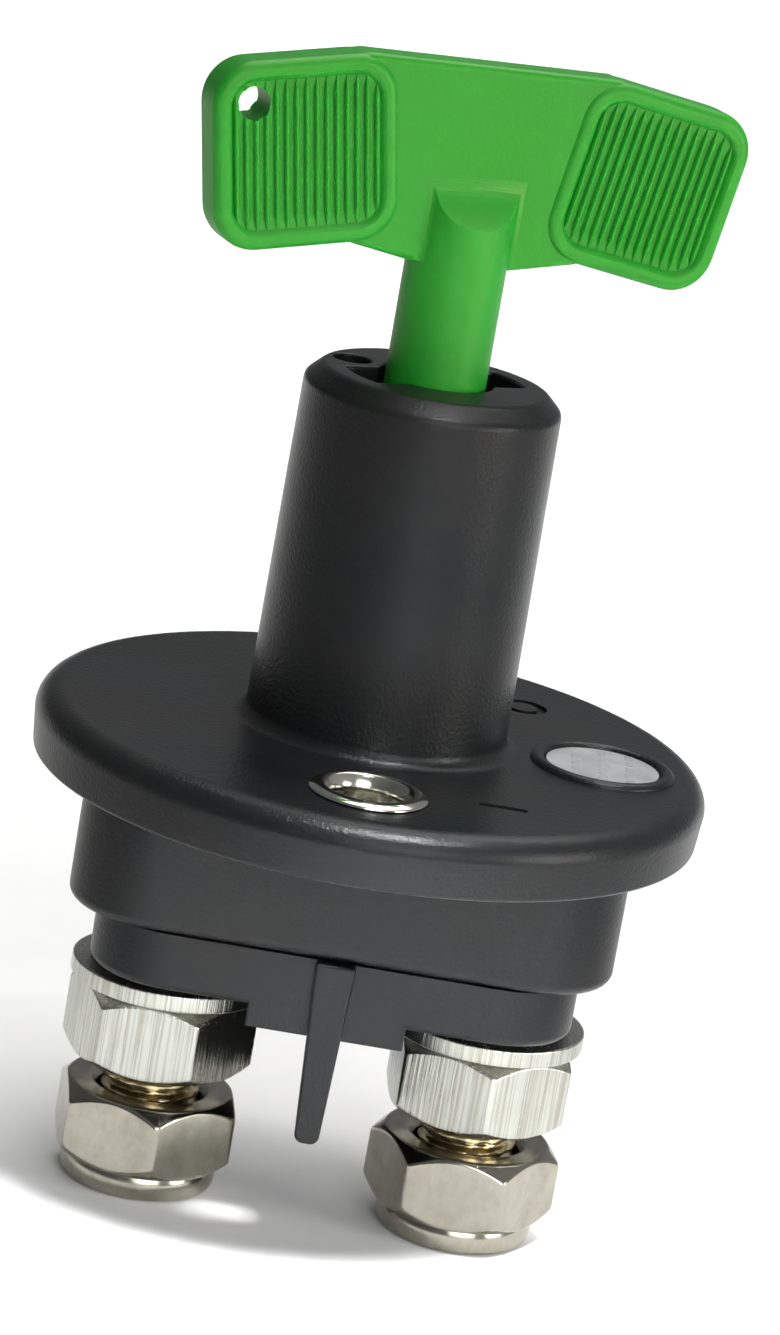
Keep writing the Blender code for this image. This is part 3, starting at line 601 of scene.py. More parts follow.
def moulded_plastic(name, dark, light, rough, grain, depth, specular=0.5):
    """Plastic from a spark-eroded mould: rough is its lowest and highest roughness."""
    material, tree, shader = new_material(name)
    surface = use_group(tree, MOULDED_GRAIN, Grain_per_metre=grain)
    colour = blend_colours(tree, surface.outputs["Drift"], dark, light)
    tree.links.new(colour, shader.inputs["Base Color"])
    roughness = span(tree, surface.outputs["Drift"], 0.0, 1.0, *rough)
    tree.links.new(roughness, shader.inputs["Roughness"])
    shader.inputs["Specular IOR Level"].default_value = specular
    add_bump(tree, shader, surface.outputs["Height"], depth)
    return material


def worked_metal(name, dull, bright, rough, across, along, depth, line_share=0.3):
    """Metal with drawn or turned lines; dull and bright are its colour in and out of the marks."""
    material, tree, shader = new_material(name)
    surface = use_group(tree, DRAWN_LINES, Across_per_metre=across, Along_per_metre=along,
                        Line_share=line_share)
    colour = blend_colours(tree, surface.outputs["Marks"], bright, dull)
    tree.links.new(colour, shader.inputs["Base Color"])
    roughness = span(tree, surface.outputs["Marks"], 0.0, 1.0, *rough)
    tree.links.new(roughness, shader.inputs["Roughness"])
    shader.inputs["Metallic"].default_value = 1.0
    add_bump(tree, shader, surface.outputs["Height"], depth)
    return material


print("finishes: moulded plastic and worked metal")

# %% [markdown]
# ## The floor
# The floor isn't part of the switch. It is a plain pale sheet, wide enough to fill the picture, with a tone
# that drifts so slightly that it only keeps the shadow from looking flat.

# %% Floor
FLOOR_HALF = 4.0
FLOOR_DROP = 0.00005


PALE = moulded_plastic(
    "pale floor", (0.86, 0.86, 0.855), (0.88, 0.88, 0.875), (0.7, 0.8), 400.0, 0.00001, 0.2)


def make_floor():
    bm = bmesh.new()
    signs = ((-1, -1), (1, -1), (1, 1), (-1, 1))
    bm.faces.new([bm.verts.new((x * FLOOR_HALF, y * FLOOR_HALF, -FLOOR_DROP)) for x, y in signs])
    floor = from_bmesh("floor", bm)
    floor.data.materials.append(PALE)
    return floor


make_floor()
print("floor", 2 * FLOOR_HALF, "m wide")

# %% [markdown]
# ## The black plastic
# Housing and base are one glass-filled black plastic. It isn't a pure black: it drifts between a cool
# and a warm dark grey, and its fine grain makes broad, soft reflections.

# %% Black plastic
BLACK_PLASTIC = moulded_plastic(
    "black_plastic", (0.0045, 0.0060, 0.0068), (0.0088, 0.0085, 0.0082), (0.28, 0.36),
    2600.0, 0.00006, 0.20)
print(BLACK_PLASTIC.name)

# %% [markdown]
# ## The housing
# Flange and tower come off one lathe section, with the rounded rim, the fillet at the tower's foot, and
# the chamfer at its top. The skirt is a loft of rounded rectangles that draws in round its lower edge.
# The hollows are cut afterwards: the cavity for the contacts, the bore for the plunger, and the key's
# opening, whose edge is eased by flaring the cutter's last millimetre.

# %% Housing sizes
RIM_ROUND = 2.5
RIM_DRAFT = 0.3
FOOT_ROUND = 0.4
TOWER_FOOT_RADIUS = 13.0
TOWER_TOP_RADIUS = 12.7
TOWER_FILLET = 1.4
TOWER_CHAMFER = 1.6
TOWER_BORE = 10.2
LEDGE_THICKNESS = 5.0
PLUNGER_TRAVEL = 3.5
RAMP_STEPS = 24
KEY_HOLE_RADIUS = 5.6
KEY_SLOT_RADIUS = 8.9
KEY_SLOT_HALF = 3.0
KEY_SLOT_TURN = math.radians(32.0)
CAP_HOLE_RADIUS = 1.9
CAP_HOLE_PLACE = (-8.3, 2.1)
SKIRT_HALF = (27.2, 14.0)
SKIRT_CORNER = 8.6
SKIRT_WALL = 3.0
SKIRT_EDGE = 1.3
EYELET_FLARE = 5.8
SLEEVE = 4.45                               # hole through the flange round each eyelet
LABEL_RADIUS = 5.7
BEAD_RADIUS = 6.55
BEAD_HALF = 0.75
print("skirt", 2 * SKIRT_HALF[0], "by", 2 * SKIRT_HALF[1], "mm")

# %% Flange and tower
def flange_and_tower():
    foot = FLANGE_RADIUS - RIM_DRAFT
    edge = FLANGE_RADIUS - RIM_ROUND
    profile = arc((foot - FOOT_ROUND, FLANGE_FOOT + FOOT_ROUND), FOOT_ROUND, -QUARTER, 0.0, 3)
    profile += arc((edge, FLANGE_TOP - RIM_ROUND), RIM_ROUND, 0.0, QUARTER, 10)
    fillet = (TOWER_FOOT_RADIUS + TOWER_FILLET, FLANGE_TOP + TOWER_FILLET)
    profile += arc(fillet, TOWER_FILLET, -QUARTER, -math.pi, 8)
    shoulder = (TOWER_TOP_RADIUS, TOWER_TOP - TOWER_CHAMFER)
    lip = (TOWER_TOP_RADIUS - 1.05 * TOWER_CHAMFER, TOWER_TOP)
    steps = 4
    eased = soften([profile[-1], shoulder, lip, (0.5, TOWER_TOP)], 0.5, steps)
    per_corner = steps + 1
    profile += eased[per_corner:3 * per_corner]     # the shoulder and the lip only
    profile.append((KEY_HOLE_RADIUS - 1.0, TOWER_TOP))
    return lathe("housing_shell", profile)


def skirt_loft():
    return rounded_foot("skirt", SKIRT_HALF, SKIRT_CORNER, SKIRT_EDGE, SKIRT_FOOT, FLANGE_FOOT + 3.0)


housing_shell = flange_and_tower()
print("flange and tower:", len(housing_shell.data.polygons), "faces")

# %% Hollows of the housing
def underside_core():
    """Shallow hollow under the flange, leaving a land, the skirt and the screw bosses."""
    low, high = FLANGE_FOOT - 1.0, FLANGE_FOOT + 2.4
    core = lathe("core", [(FLANGE_RADIUS - 3.9, low), (FLANGE_RADIUS - 3.9, high)], 96)
    space = rounded_rectangle(SKIRT_HALF[0] + 1.2, SKIRT_HALF[1] + 1.2, SKIRT_CORNER)
    cut(core, prism("space", space, low - 1.0, high + 1.0))
    half = EYELET_FLARE + 1.4
    for side in (-1, 1):
        near, far = side * SKIRT_HALF[1] / 2.0, side * (FLANGE_RADIUS + 1.0)
        boss = [(-half, near), (half, near), (half, far), (-half, far)]
        cut(core, prism("boss", boss, low - 1.0, high + 1.0))
    return core


def lug_ramp(start_turn):
    """Helical wedge under the tower's ledge that presses one of the key's lugs down."""
    first, last = math.radians(10.0), math.radians(-78.0)
    drop = PLUNGER_TRAVEL / QUARTER
    underside = TOWER_TOP - LEDGE_THICKNESS
    near, far = KEY_HOLE_RADIUS + 0.2, TOWER_BORE + 0.6
    rings = []
    for step in range(RAMP_STEPS + 1):
        angle = first + (last - first) * step / RAMP_STEPS
        height = underside - drop * (first - angle)
        section = ((near, height), (far, height), (far, underside + 1.0), (near, underside + 1.0))
        spoke = (math.cos(angle + start_turn), math.sin(angle + start_turn))
        rings.append([(radius * spoke[0], radius * spoke[1], z) for radius, z in section])
    return stack_rings("ramp", rings)


def flared(outline_at, low, top, ease=0.35, steps=4):
    """A cutter that widens over its last step, so that it leaves a rounded edge."""
    rings = [level(outline_at(0.0), low)]
    for step in range(steps + 1):
        angle = QUARTER * step / steps
        widen = ease * (1.0 - math.cos(angle))
        rings.append(level(outline_at(widen), top - ease * (1.0 - math.sin(angle))))
    rings.append(level(outline_at(ease), top + 1.0))
    return stack_rings("cutter", rings)


def bow_tie(radius, half, steps):
    """A bar across a circle, with the circle's own arcs for ends."""
    swing = math.asin(half / radius)
    one_end = arc((0, 0), radius, -swing, swing, steps)
    return one_end + arc((0, 0), radius, math.pi - swing, math.pi + swing, steps)


def slot_outline(widen):
    return bow_tie(KEY_SLOT_RADIUS + widen, KEY_SLOT_HALF + widen, 10)


def inside_skirt(inset):
    return rounded_rectangle(SKIRT_HALF[0] - inset, SKIRT_HALF[1] - inset, SKIRT_CORNER - inset)


def cut_housing(shell):
    cut(shell, underside_core())
    join(shell, skirt_loft())
    cavity = inside_skirt(SKIRT_WALL)
    cut(shell, prism("cavity", cavity, SKIRT_FOOT - 1.0, FLANGE_FOOT + 2.2))
    ledge = TOWER_TOP - LEDGE_THICKNESS
    cut(shell, lathe("bore", [(TOWER_BORE, SKIRT_FOOT + 1.0), (TOWER_BORE, ledge)], 96))
    for start_turn in (0.0, math.pi):
        join(shell, lug_ramp(start_turn))
    slot = turn(flared(slot_outline, ledge - 4.5, TOWER_TOP), KEY_SLOT_TURN)
    cut(shell, slot)
    hole = flared(lambda widen: circle(KEY_HOLE_RADIUS + widen, 96), ledge - 4.5, TOWER_TOP)
    cut(shell, hole)
    cap_hole = flared(lambda widen: circle(CAP_HOLE_RADIUS + widen, 48), TOWER_TOP - 2.6, TOWER_TOP, 0.25)
    cut(shell, shift(cap_hole, *CAP_HOLE_PLACE))
    for place in EYELET_PLACE.values():
        hole = lathe("hole", [(SLEEVE, FLANGE_FOOT), (SLEEVE, FLANGE_TOP + 1.0)], 64)
        pocket = lathe("pocket", [(EYELET_FLARE, FLANGE_FOOT - 1.0), (EYELET_FLARE, FLANGE_FOOT + 1.1)], 64)
        cut(shell, shift(hole, y=place))
        cut(shell, shift(pocket, y=place))
    return shell


cut_housing(housing_shell)
print("housing with its hollows:", len(housing_shell.data.polygons), "faces")

# %% [markdown]
# ## What stands on the flange
# A rounded bead frames the label. Beside the tower the two positions are marked by the plain signs for
# on and off, a bar and a ring, sunk a third of a millimetre into the flange.

# %% Bead and position marks
MARK_DEPTH = 0.35
ON_MARK_PLACE = (12.9, -19.9)
OFF_MARK_PLACE = (14.9, 16.8)
MARK_HEIGHT = 4.9
MARK_STROKE = 1.0


def label_bead():
    """A half-round bead, with its foot sunk into the flange."""
    crown = arc((BEAD_RADIUS, FLANGE_TOP - 0.15), BEAD_HALF, 0.0, math.pi, 12)
    root = FLANGE_TOP - 0.8
    section = crown + [(BEAD_RADIUS - BEAD_HALF, root), (BEAD_RADIUS + BEAD_HALF, root)]
    bead = ring_solid("bead", circle(1.0, 96), lambda reach: section)
    return shift(bead, LABEL_PLACE.x, LABEL_PLACE.y)


def position_marks():
    floor, above = FLANGE_TOP - MARK_DEPTH, FLANGE_TOP + 1.0
    outline = rounded_rectangle(MARK_HEIGHT / 2, MARK_STROKE / 2, MARK_STROKE / 2 - 0.02, 6)
    bar = prism("bar", outline, floor, above)
    outer = MARK_HEIGHT / 2
    inner = outer - MARK_STROKE
    section = [(inner, floor), (outer, floor), (outer, above), (inner, above)]
    ring = ring_solid("ring", circle(1.0, 64), lambda reach: section)
    return shift(bar, *ON_MARK_PLACE), shift(ring, *OFF_MARK_PLACE)


join(housing_shell, label_bead())
seat = lathe("seat", [(LABEL_RADIUS + 0.1, FLANGE_TOP - 0.3), (LABEL_RADIUS + 0.1, FLANGE_TOP + 2.0)], 96)
cut(housing_shell, shift(seat, LABEL_PLACE.x, LABEL_PLACE.y))
for mark in position_marks():
    cut(housing_shell, mark)
finish(housing_shell, BLACK_PLASTIC, "housing", "housing")

# %% [markdown]
# ## The terminal base
# The base closes the skirt from below. Between the studs it has a lower block, and from that hangs the
# barrier rib, which keeps the two cable lugs apart. The rib tapers to a rounded foot.

# %% Terminal base
BASE_FOOT = BASE_TOP - 5.9
BASE_HALF = (24.2, 12.8)
BASE_CORNER = 8.0
BASE_EDGE = 1.0
BLOCK_HALF = 7.8
BLOCK_DROP = 2.1
BARRIER_TOP_HALF = 2.0
BARRIER_FOOT_HALF = 1.2
WASHER_RADIUS = 9.8
STUD_HOLE = 5.2
SPIGOT_GAP = 1.6
WELL_RADIUS = 3.6                           # room for the plunger's foot
WELL_DEPTH = 3.2


def block_between_studs():
    low, deep = BASE_FOOT - BLOCK_DROP, BASE_HALF[1] - 0.02
    outline = [(-BLOCK_HALF, -deep), (BLOCK_HALF, -deep), (BLOCK_HALF, deep), (-BLOCK_HALF, deep)]
    block = prism("block", outline, low, BASE_FOOT + 2.0)
    for x in STUD_PLACE.values():
        room = lathe("room", [(WASHER_RADIUS + 0.3, low - 1.0), (WASHER_RADIUS + 0.3, BASE_FOOT)], 96)
        cut(block, shift(room, x))
    return round_edges(block, 0.3, 3, 60.0)


def barrier_rib():
    corners = [(BARRIER_TOP_HALF, BASE_TOP), (BARRIER_FOOT_HALF, BARRIER_FOOT),
               (-BARRIER_FOOT_HALF, BARRIER_FOOT), (-BARRIER_TOP_HALF, BASE_TOP)]
    outline = round_corners(corners, (0.0, 0.9, 0.9, 0.0))
    rib = turn(prism("rib", outline, -SKIRT_HALF[1], SKIRT_HALF[1]), QUARTER, "X")
    return round_edges(rib, 0.35, 3, 60.0)


def make_base_plate():
    base = rounded_foot("base_plate", BASE_HALF, BASE_CORNER, BASE_EDGE, BASE_FOOT, BASE_TOP)
    spigot = prism("spigot", inside_skirt(SKIRT_WALL + SPIGOT_GAP), BASE_TOP - 1.0, SPIGOT_TOP)
    join(base, spigot)
    join(base, block_between_studs())
    join(base, barrier_rib())
    for x in STUD_PLACE.values():
        hole = lathe("hole", [(STUD_HOLE, BASE_FOOT - 1.0), (STUD_HOLE, SPIGOT_TOP + 1.0)], 64)
        cut(base, shift(hole, x))
    well = lathe("well", [(WELL_RADIUS, SPIGOT_TOP - WELL_DEPTH), (WELL_RADIUS, SPIGOT_TOP + 1.0)], 48)
    return cut(base, well)


finish(make_base_plate(), BLACK_PLASTIC, "housing", "terminal_base")

# %% [markdown]
# ## Metals
# The plates differ. The upper nuts and washers are bright zinc over drawn bar, so long lines run up
# their flats. The lower nuts are stainless steel with a warm satin face. The eyelets are nickel plated
# and almost mirror smooth, and the studs are tinned brass with a yellow cast in their threads.

# %% Metals
ZINC = worked_metal(
    "zinc_plate", (0.34, 0.33, 0.28), (0.58, 0.59, 0.54), (0.18, 0.28), 3400.0, 45.0, 0.00009, 0.85)
STAINLESS = worked_metal(
    "stainless_steel", (0.29, 0.27, 0.22), (0.40, 0.38, 0.32), (0.14, 0.22), 900.0, 500.0, 0.00001)
NICKEL = worked_metal(
    "nickel_plate", (0.52, 0.51, 0.44), (0.66, 0.65, 0.58), (0.10, 0.20), 500.0, 500.0, 0.000015)
TINNED_BRASS = worked_metal(
    "plated_brass", (0.42, 0.34, 0.18), (0.66, 0.58, 0.40), (0.16, 0.28), 700.0, 700.0, 0.00002)
print("metals:", ZINC.name, STAINLESS.name, NICKEL.name, TINNED_BRASS.name)

# %% [markdown]
# ## Eyelets
# Each fixing hole is lined by a thin eyelet, rolled over at the top into a flat dome and spread below.
# It is one closed section swept round a circle.

# %% Eyelets
EYELET_BORE = 3.7
EYELET_WALL = 0.45


def eyelet_section(reach):
    outer, flare = EYELET_BORE + EYELET_WALL, EYELET_FLARE
    foot, top = FLANGE_FOOT + 0.15, FLANGE_TOP + 0.02
    corners = [
        (EYELET_BORE, foot), (flare - 0.7, foot), (flare - 0.7, foot + 0.5), (outer, foot + 0.5),
        (outer, top), (flare - 0.1, top), (flare, top + 0.25), (flare - 0.9, top + 0.72),
        (EYELET_BORE + 0.6, top + 0.62), (EYELET_BORE, top - 0.5)]
    return soften(corners, 0.5, 4)


for side, place in EYELET_PLACE.items():
    lining = shift(ring_solid("eyelet_lining_" + side, circle(1.0, 96), eyelet_section), y=place)
    finish(lining, NICKEL, "housing", "eyelet_" + side)

# %% [markdown]
# ## Nuts and washers
# A nut is cut from hexagonal bar and then chamfered on a lathe, so each flat ends in an arc. Here the
# rounded hexagon is the outline, and the chamfer's height depends on how far out each column stands.
# The lower nuts have a round collar, rolled over a nylon ring.

# %% Nut outline
NUT_FLATS = 17.0
NUT_CORNER_ROUND = 0.7
FLAT_STEPS = 12
UPPER_TURN = {"left": math.radians(53.6), "right": math.radians(37.2)}
LOWER_TURN = {"left": math.radians(39.2), "right": math.radians(54.7)}


def hexagon_outline():
    """A hexagon with rounded corners and extra points along each flat."""
    corners = circle(NUT_FLATS / math.sqrt(3.0), 6)
    bend_steps = 4
    rounded = round_corners(corners, [NUT_CORNER_ROUND] * 6, bend_steps)
    outline = []
    for first in range(0, len(rounded), bend_steps + 1):
        last = first + bend_steps
        outline += rounded[first:last + 1]
        start, end = Vector(rounded[last]), Vector(rounded[(last + 1) % len(rounded)])
        outline += [tuple(start.lerp(end, step / FLAT_STEPS)) for step in range(1, FLAT_STEPS)]
    return outline


HEXAGON = hexagon_outline()
print("nut outline:", len(HEXAGON), "points")

# %% Nut sections
NUT_HOLE = 5.2
CHAMFER_START = NUT_FLATS / 2 - 0.25
COLLAR_RADIUS = 7.9
COLLAR_TOP = 2.6
COLLAR_BULGE = 3.2                          # radius of its rolled side
COLLAR_MIDDLE = 1.35
POCKET_RADIUS = 7.0                         # for the nylon ring


def plain_nut_section(reach, bottom, top, slope):
    rise = (reach - CHAMFER_START) * slope
    return soften([
        (NUT_HOLE, bottom + 0.6), (NUT_HOLE + 0.6, bottom), (CHAMFER_START, bottom), (reach, bottom + rise),
        (reach, top - rise), (CHAMFER_START, top), (NUT_HOLE + 0.6, top), (NUT_HOLE, top - 0.6)], 0.22)


def collar_nut_section(reach, bottom, top, slope):
    rise = (reach - CHAMFER_START) * slope
    collar = arc((COLLAR_RADIUS - 1.0, bottom + 1.0), 0.98, -QUARTER, -0.35, 5)
    last = math.asin((COLLAR_TOP - COLLAR_MIDDLE) / COLLAR_BULGE)
    collar += arc((COLLAR_RADIUS - COLLAR_BULGE, bottom + COLLAR_MIDDLE), COLLAR_BULGE, -0.05, last, 8)
    inner = [(NUT_HOLE, bottom + 3.3), (POCKET_RADIUS, bottom + 3.3), (POCKET_RADIUS, bottom + 0.7),
             (6.0, bottom + 0.7), (6.0, bottom + 0.15)]
    shelf = bottom + COLLAR_TOP
    steps = 3
    body = soften([
        (COLLAR_RADIUS, bottom + 1.0), (CHAMFER_START - 0.9, shelf), (CHAMFER_START, shelf + 0.05),
        (reach, shelf + rise), (reach, top - rise), (CHAMFER_START, top), (NUT_HOLE + 0.9, top),
        (NUT_HOLE, top - 0.9)], 0.3, steps)
    return inner + collar + body[steps + 1:]        # its first corner only sets a direction


def washer_section(reach, bottom, top, slope):
    corners = [(STUD_HOLE, bottom), (WASHER_RADIUS, bottom), (WASHER_RADIUS, top), (STUD_HOLE, top)]
    return soften(corners, 0.25)


NO_TURN = {"left": 0.0, "right": 0.0}
FASTENERS = (
    # piece, CAD node, outline, section, slope of its chamfer, how it is turned, metal, slot
    ("plain_washer_", "washer_", circle(1.0, 128), washer_section, 0.0, NO_TURN, ZINC, "zinc_plate"),
    ("upper_nut_", "fixing_nut_", HEXAGON, plain_nut_section, 0.75, UPPER_TURN, ZINC, "zinc_plate"),
    ("lower_nut_", "lock_nut_", HEXAGON, collar_nut_section, 0.95, LOWER_TURN, STAINLESS, "stainless_steel"),
)

for side, x in STUD_PLACE.items():
    for name, node, outline, section, slope, turned, metal, slot_name in FASTENERS:
        low, high = (corner.z for corner in box_mm(node + side))
        fastener = ring_solid(name + side, outline, lambda reach: section(reach, low, high, slope))
        finish(shift(turn(fastener, turned[side]), x), metal, "housing", node + side)

# %% [markdown]
# ## Studs with a real thread
# Between the two nuts of each terminal a little thread shows. A thread is a shape that follows a rule,
# so Geometry Nodes make it: a cylinder with many rings, whose radius at each point depends on how far
# the point is along the pitch, counted along Z and round the axis together.

# %% Thread tree
RINGS_PER_TURN = 14.0
FLANK = (-0.75, 0.85)                       # part of the wave that is flank, between crest and root


def make_thread_tree():
    tree, given, result = new_tree("thread", Radius=4.95, Depth=0.85, Pitch=1.5, Length=33.0, Point=0.8)
    turns = maths(tree, "DIVIDE", given["Length"], given["Pitch"])
    rings = maths(tree, "MULTIPLY", turns, RINGS_PER_TURN)
    rod = add_node(tree, "GeometryNodeMeshCylinder", Vertices=64, Side_Segments=rings,
                   Radius=given["Radius"], Depth=given["Length"])
    place = position_parts(tree)
    angle = maths(tree, "ARCTAN2", place["Y"], place["X"])
    along = maths(tree, "DIVIDE", place["Z"], given["Pitch"])
    phase = maths(tree, "SUBTRACT", along, maths(tree, "DIVIDE", angle, FULL_TURN))
    wave = maths(tree, "COSINE", maths(tree, "MULTIPLY", phase, FULL_TURN))
    sunk = maths(tree, "MULTIPLY", span(tree, wave, *FLANK), given["Depth"])
    threaded = maths(tree, "SUBTRACT", given["Radius"], sunk)
    from_foot = maths(tree, "ADD", place["Z"], maths(tree, "DIVIDE", given["Length"], 2.0))
    pointed = maths(tree, "ADD", maths(tree, "SUBTRACT", given["Radius"], given["Point"]), from_foot)
    radius = maths(tree, "MINIMUM", threaded, pointed)
    shrink = maths(tree, "DIVIDE", radius, given["Radius"])
    scaled = {axis: maths(tree, "MULTIPLY", place[axis], shrink) for axis in ("X", "Y")}
    moved = vector(tree, **scaled, Z=place["Z"])
    shaped = add_node(tree, "GeometryNodeSetPosition", Geometry=rod.outputs["Mesh"], Position=moved)
    return end_tree(tree, shaped.outputs[0], given, result)


def grow(name, tree, **sizes):
    """Run a geometry tree on an empty mesh with its named sizes, and keep the plain mesh."""
    thing = link_piece(name, bpy.data.meshes.new(name))
    modifier = thing.modifiers.new("grow", "NODES")
    modifier.node_group = tree
    for item in tree.interface.items_tree:
        key = item.name.replace(" ", "_")
        if item.in_out == "INPUT" and key in sizes:
            modifier[item.identifier] = sizes[key]
    return apply_modifiers(thing)


THREAD_TREE = make_thread_tree()
print("thread tree:", len(THREAD_TREE.nodes), "nodes")

# %% Studs
STUD_HEAD_HALF = 6.6
STUD_FOOT = box_mm("stud_left")[0].z
STUD_TOP = box_mm("stud_left")[1].z

for side, x in STUD_PLACE.items():
    head_foot = SPIGOT_TOP + 0.3
    length = head_foot + 1.0 - STUD_FOOT
    stud = grow("threaded_stud_" + side, THREAD_TREE, Length=length, Finish=TINNED_BRASS)
    shift(stud, z=STUD_FOOT + length / 2.0)
    head = prism("head", rounded_rectangle(STUD_HEAD_HALF, STUD_HEAD_HALF, 1.2, 6), head_foot, STUD_TOP)
    join(stud, round_edges(head, 0.3))
    finish(shift(stud, x), TINNED_BRASS, "housing", "stud_" + side)

# %% [markdown]
# ## Rubber and nylon
# The thin seals under the washers and the ring round the base's spigot hardly show, and their CAD shape
# is already right. They stay, with a dull rubber whose tone drifts. The nylon rings in the lower nuts
# and the plunger stay too.

# %% Rubber and nylon
RUBBER = moulded_plastic(
    "rubber", (0.010, 0.010, 0.010), (0.022, 0.021, 0.020), (0.65, 0.8), 1500.0, 0.00004, 0.3)
NYLON = moulded_plastic(
    "nylon", (0.62, 0.60, 0.53), (0.70, 0.68, 0.61), (0.38, 0.5), 1200.0, 0.00002)
repaint(("base_seal", "stud_seal_left", "stud_seal_right", "plunger_seal"), RUBBER)
repaint(("lock_insert_left", "lock_insert_right", "plunger", "key_seat"), NYLON)

# %% [markdown]
# ## Contacts and springs
# Inside, a copper bridge with two silver pads joins the studs when the plunger comes down. The springs are
# helices, so they are grown from a spiral curve with a round wire.

# %% Contacts
COPPER = worked_metal(
    "copper", (0.42, 0.18, 0.09), (0.80, 0.42, 0.26), (0.25, 0.4), 900.0, 900.0, 0.00002)
SILVER = worked_metal(
    "silver_alloy", (0.55, 0.55, 0.54), (0.86, 0.86, 0.84), (0.22, 0.34), 600.0, 600.0, 0.00002)
SPRING_STEEL = worked_metal(
    "spring_steel", (0.28, 0.28, 0.29), (0.52, 0.52, 0.53), (0.25, 0.38), 800.0, 800.0, 0.00001)
repaint(("contact_bridge",), COPPER)
repaint(("contact_pad_left", "contact_pad_right"), SILVER)
repaint(("plunger_clip",), SPRING_STEEL)

# %% Spring tree
def make_coil_tree():
    tree, given, result = new_tree("coil", Radius=6.0, Wire=0.6, Height=10.0, Turns=5.0)
    helix = add_node(tree, "GeometryNodeCurveSpiral", Resolution=28, Rotations=given["Turns"],
                     Height=given["Height"], Start_Radius=given["Radius"], End_Radius=given["Radius"])
    wire = add_node(tree, "GeometryNodeCurvePrimitiveCircle", Resolution=10, Radius=given["Wire"])
    swept = add_node(tree, "GeometryNodeCurveToMesh", Curve=helix.outputs[0], Fill_Caps=True)
    tree.links.new(wire.outputs[0], swept.inputs["Profile Curve"])
    return end_tree(tree, swept.outputs[0], given, result)


def make_spring(name, node, body, radius, wire, turns):
    """A spring between the heights of its CAD solid."""
    low, high = (corner.z for corner in box_mm(node))
    height = high - low - 2.0 * wire
    spring = grow(name, COIL_TREE, Radius=radius, Wire=wire, Height=height, Turns=turns,
                  Finish=SPRING_STEEL)
    finish(shift(spring, z=low + wire), SPRING_STEEL, body, node)
    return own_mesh(spring)


COIL_TREE = make_coil_tree()
make_spring("contact_coil", "contact_spring", "bridge",
            radius=6.2, wire=0.7, turns=5.5)
make_spring("return_coil", "return_spring", "housing",
            radius=5.9, wire=0.5, turns=4.0)

# %% [markdown]
# ## The label
# The label is a disc of satin foil in its bead. Its print is left blank: three rows of short dashes
# take the place of words. The dashes repeat, so a small tree lays them out on a grid, drops those past
# the end of their row, and gives each one a length of its own from a fixed seed.

# %% Label foil and ink
FOIL = worked_metal(
    "label_foil", (0.60, 0.62, 0.63), (0.72, 0.74, 0.75), (0.34, 0.44), 300.0, 300.0, 0.00001)
INK = moulded_plastic(
    "label_ink", (0.16, 0.17, 0.17), (0.22, 0.23, 0.23), (0.5, 0.6), 1500.0, 0.00001)
LABEL_FACE = FLANGE_TOP + 0.2
LABEL_EDGE = 0.12

label_profile = [(LABEL_RADIUS, FLANGE_TOP - 0.2)]
label_profile += arc((LABEL_RADIUS - LABEL_EDGE, LABEL_FACE - LABEL_EDGE), LABEL_EDGE, 0.0, QUARTER, 3)
label = shift(lathe("label_disc", label_profile, 128), LABEL_PLACE.x, LABEL_PLACE.y)
finish(label, FOIL, "housing", "rating_label")

# %% Dash tree
ROW_GAP = 2.7
DASH_STEP = 2.0
DASH_THICKNESS = 0.9
DASH_LENGTHS = (1.1, 1.6)                   # shortest and longest, from the fixed seed
INK_RISE = 0.03


def make_dash_tree():
    tree, given, result = new_tree("dashes", Row_gap=ROW_GAP, Dash_step=DASH_STEP,
                                   Dash_height=DASH_THICKNESS, Rise=INK_RISE, Seed=7)
    across = maths(tree, "MULTIPLY", given["Row gap"], 2.0)
    along = maths(tree, "MULTIPLY", given["Dash step"], 4.0)
    grid = add_node(tree, "GeometryNodeMeshGrid", Vertices_X=3, Vertices_Y=5, Size_X=across, Size_Y=along)
    place = position_parts(tree)
    row = maths(tree, "DIVIDE", place["X"], given["Row gap"])
    reach = maths(tree, "MULTIPLY", maths(tree, "ADD", row, 2.1), given["Dash step"])
    allowed = maths(tree, "MINIMUM", reach, maths(tree, "MULTIPLY", given["Dash step"], 2.2))
    too_far = maths(tree, "GREATER_THAN", maths(tree, "ABSOLUTE", place["Y"]), allowed)
    kept = add_node(tree, "GeometryNodeDeleteGeometry", Geometry=grid.outputs["Mesh"], Selection=too_far)
    dash = add_node(tree, "GeometryNodeCurvePrimitiveQuadrilateral", Width=given["Dash height"], Height=1.0)
    rounded = add_node(tree, "GeometryNodeFilletCurve", {"mode": "POLY"},
                       Curve=dash.outputs[0], Radius=0.18, Count=3)
    filled = add_node(tree, "GeometryNodeFillCurve", {"mode": "NGONS"}, Curve=rounded.outputs[0])
    thick = add_node(tree, "GeometryNodeExtrudeMesh", Mesh=filled.outputs[0], Offset_Scale=given["Rise"])
    length = add_node(tree, "FunctionNodeRandomValue", {"data_type": "FLOAT"}, Seed=given["Seed"])
    for place_in_list, number in zip((2, 3), DASH_LENGTHS):
        length.inputs[place_in_list].default_value = number
    laid = add_node(tree, "GeometryNodeInstanceOnPoints", Points=kept.outputs[0],
                    Instance=thick.outputs["Mesh"], Scale=vector(tree, X=1.0, Y=length.outputs[1], Z=1.0))
    return end_tree(tree, laid.outputs[0], given, result)


print_dashes = grow("label_print", make_dash_tree(), Finish=INK)
shift(print_dashes, LABEL_PLACE.x, LABEL_PLACE.y, LABEL_FACE)
finish(print_dashes, INK, "housing")

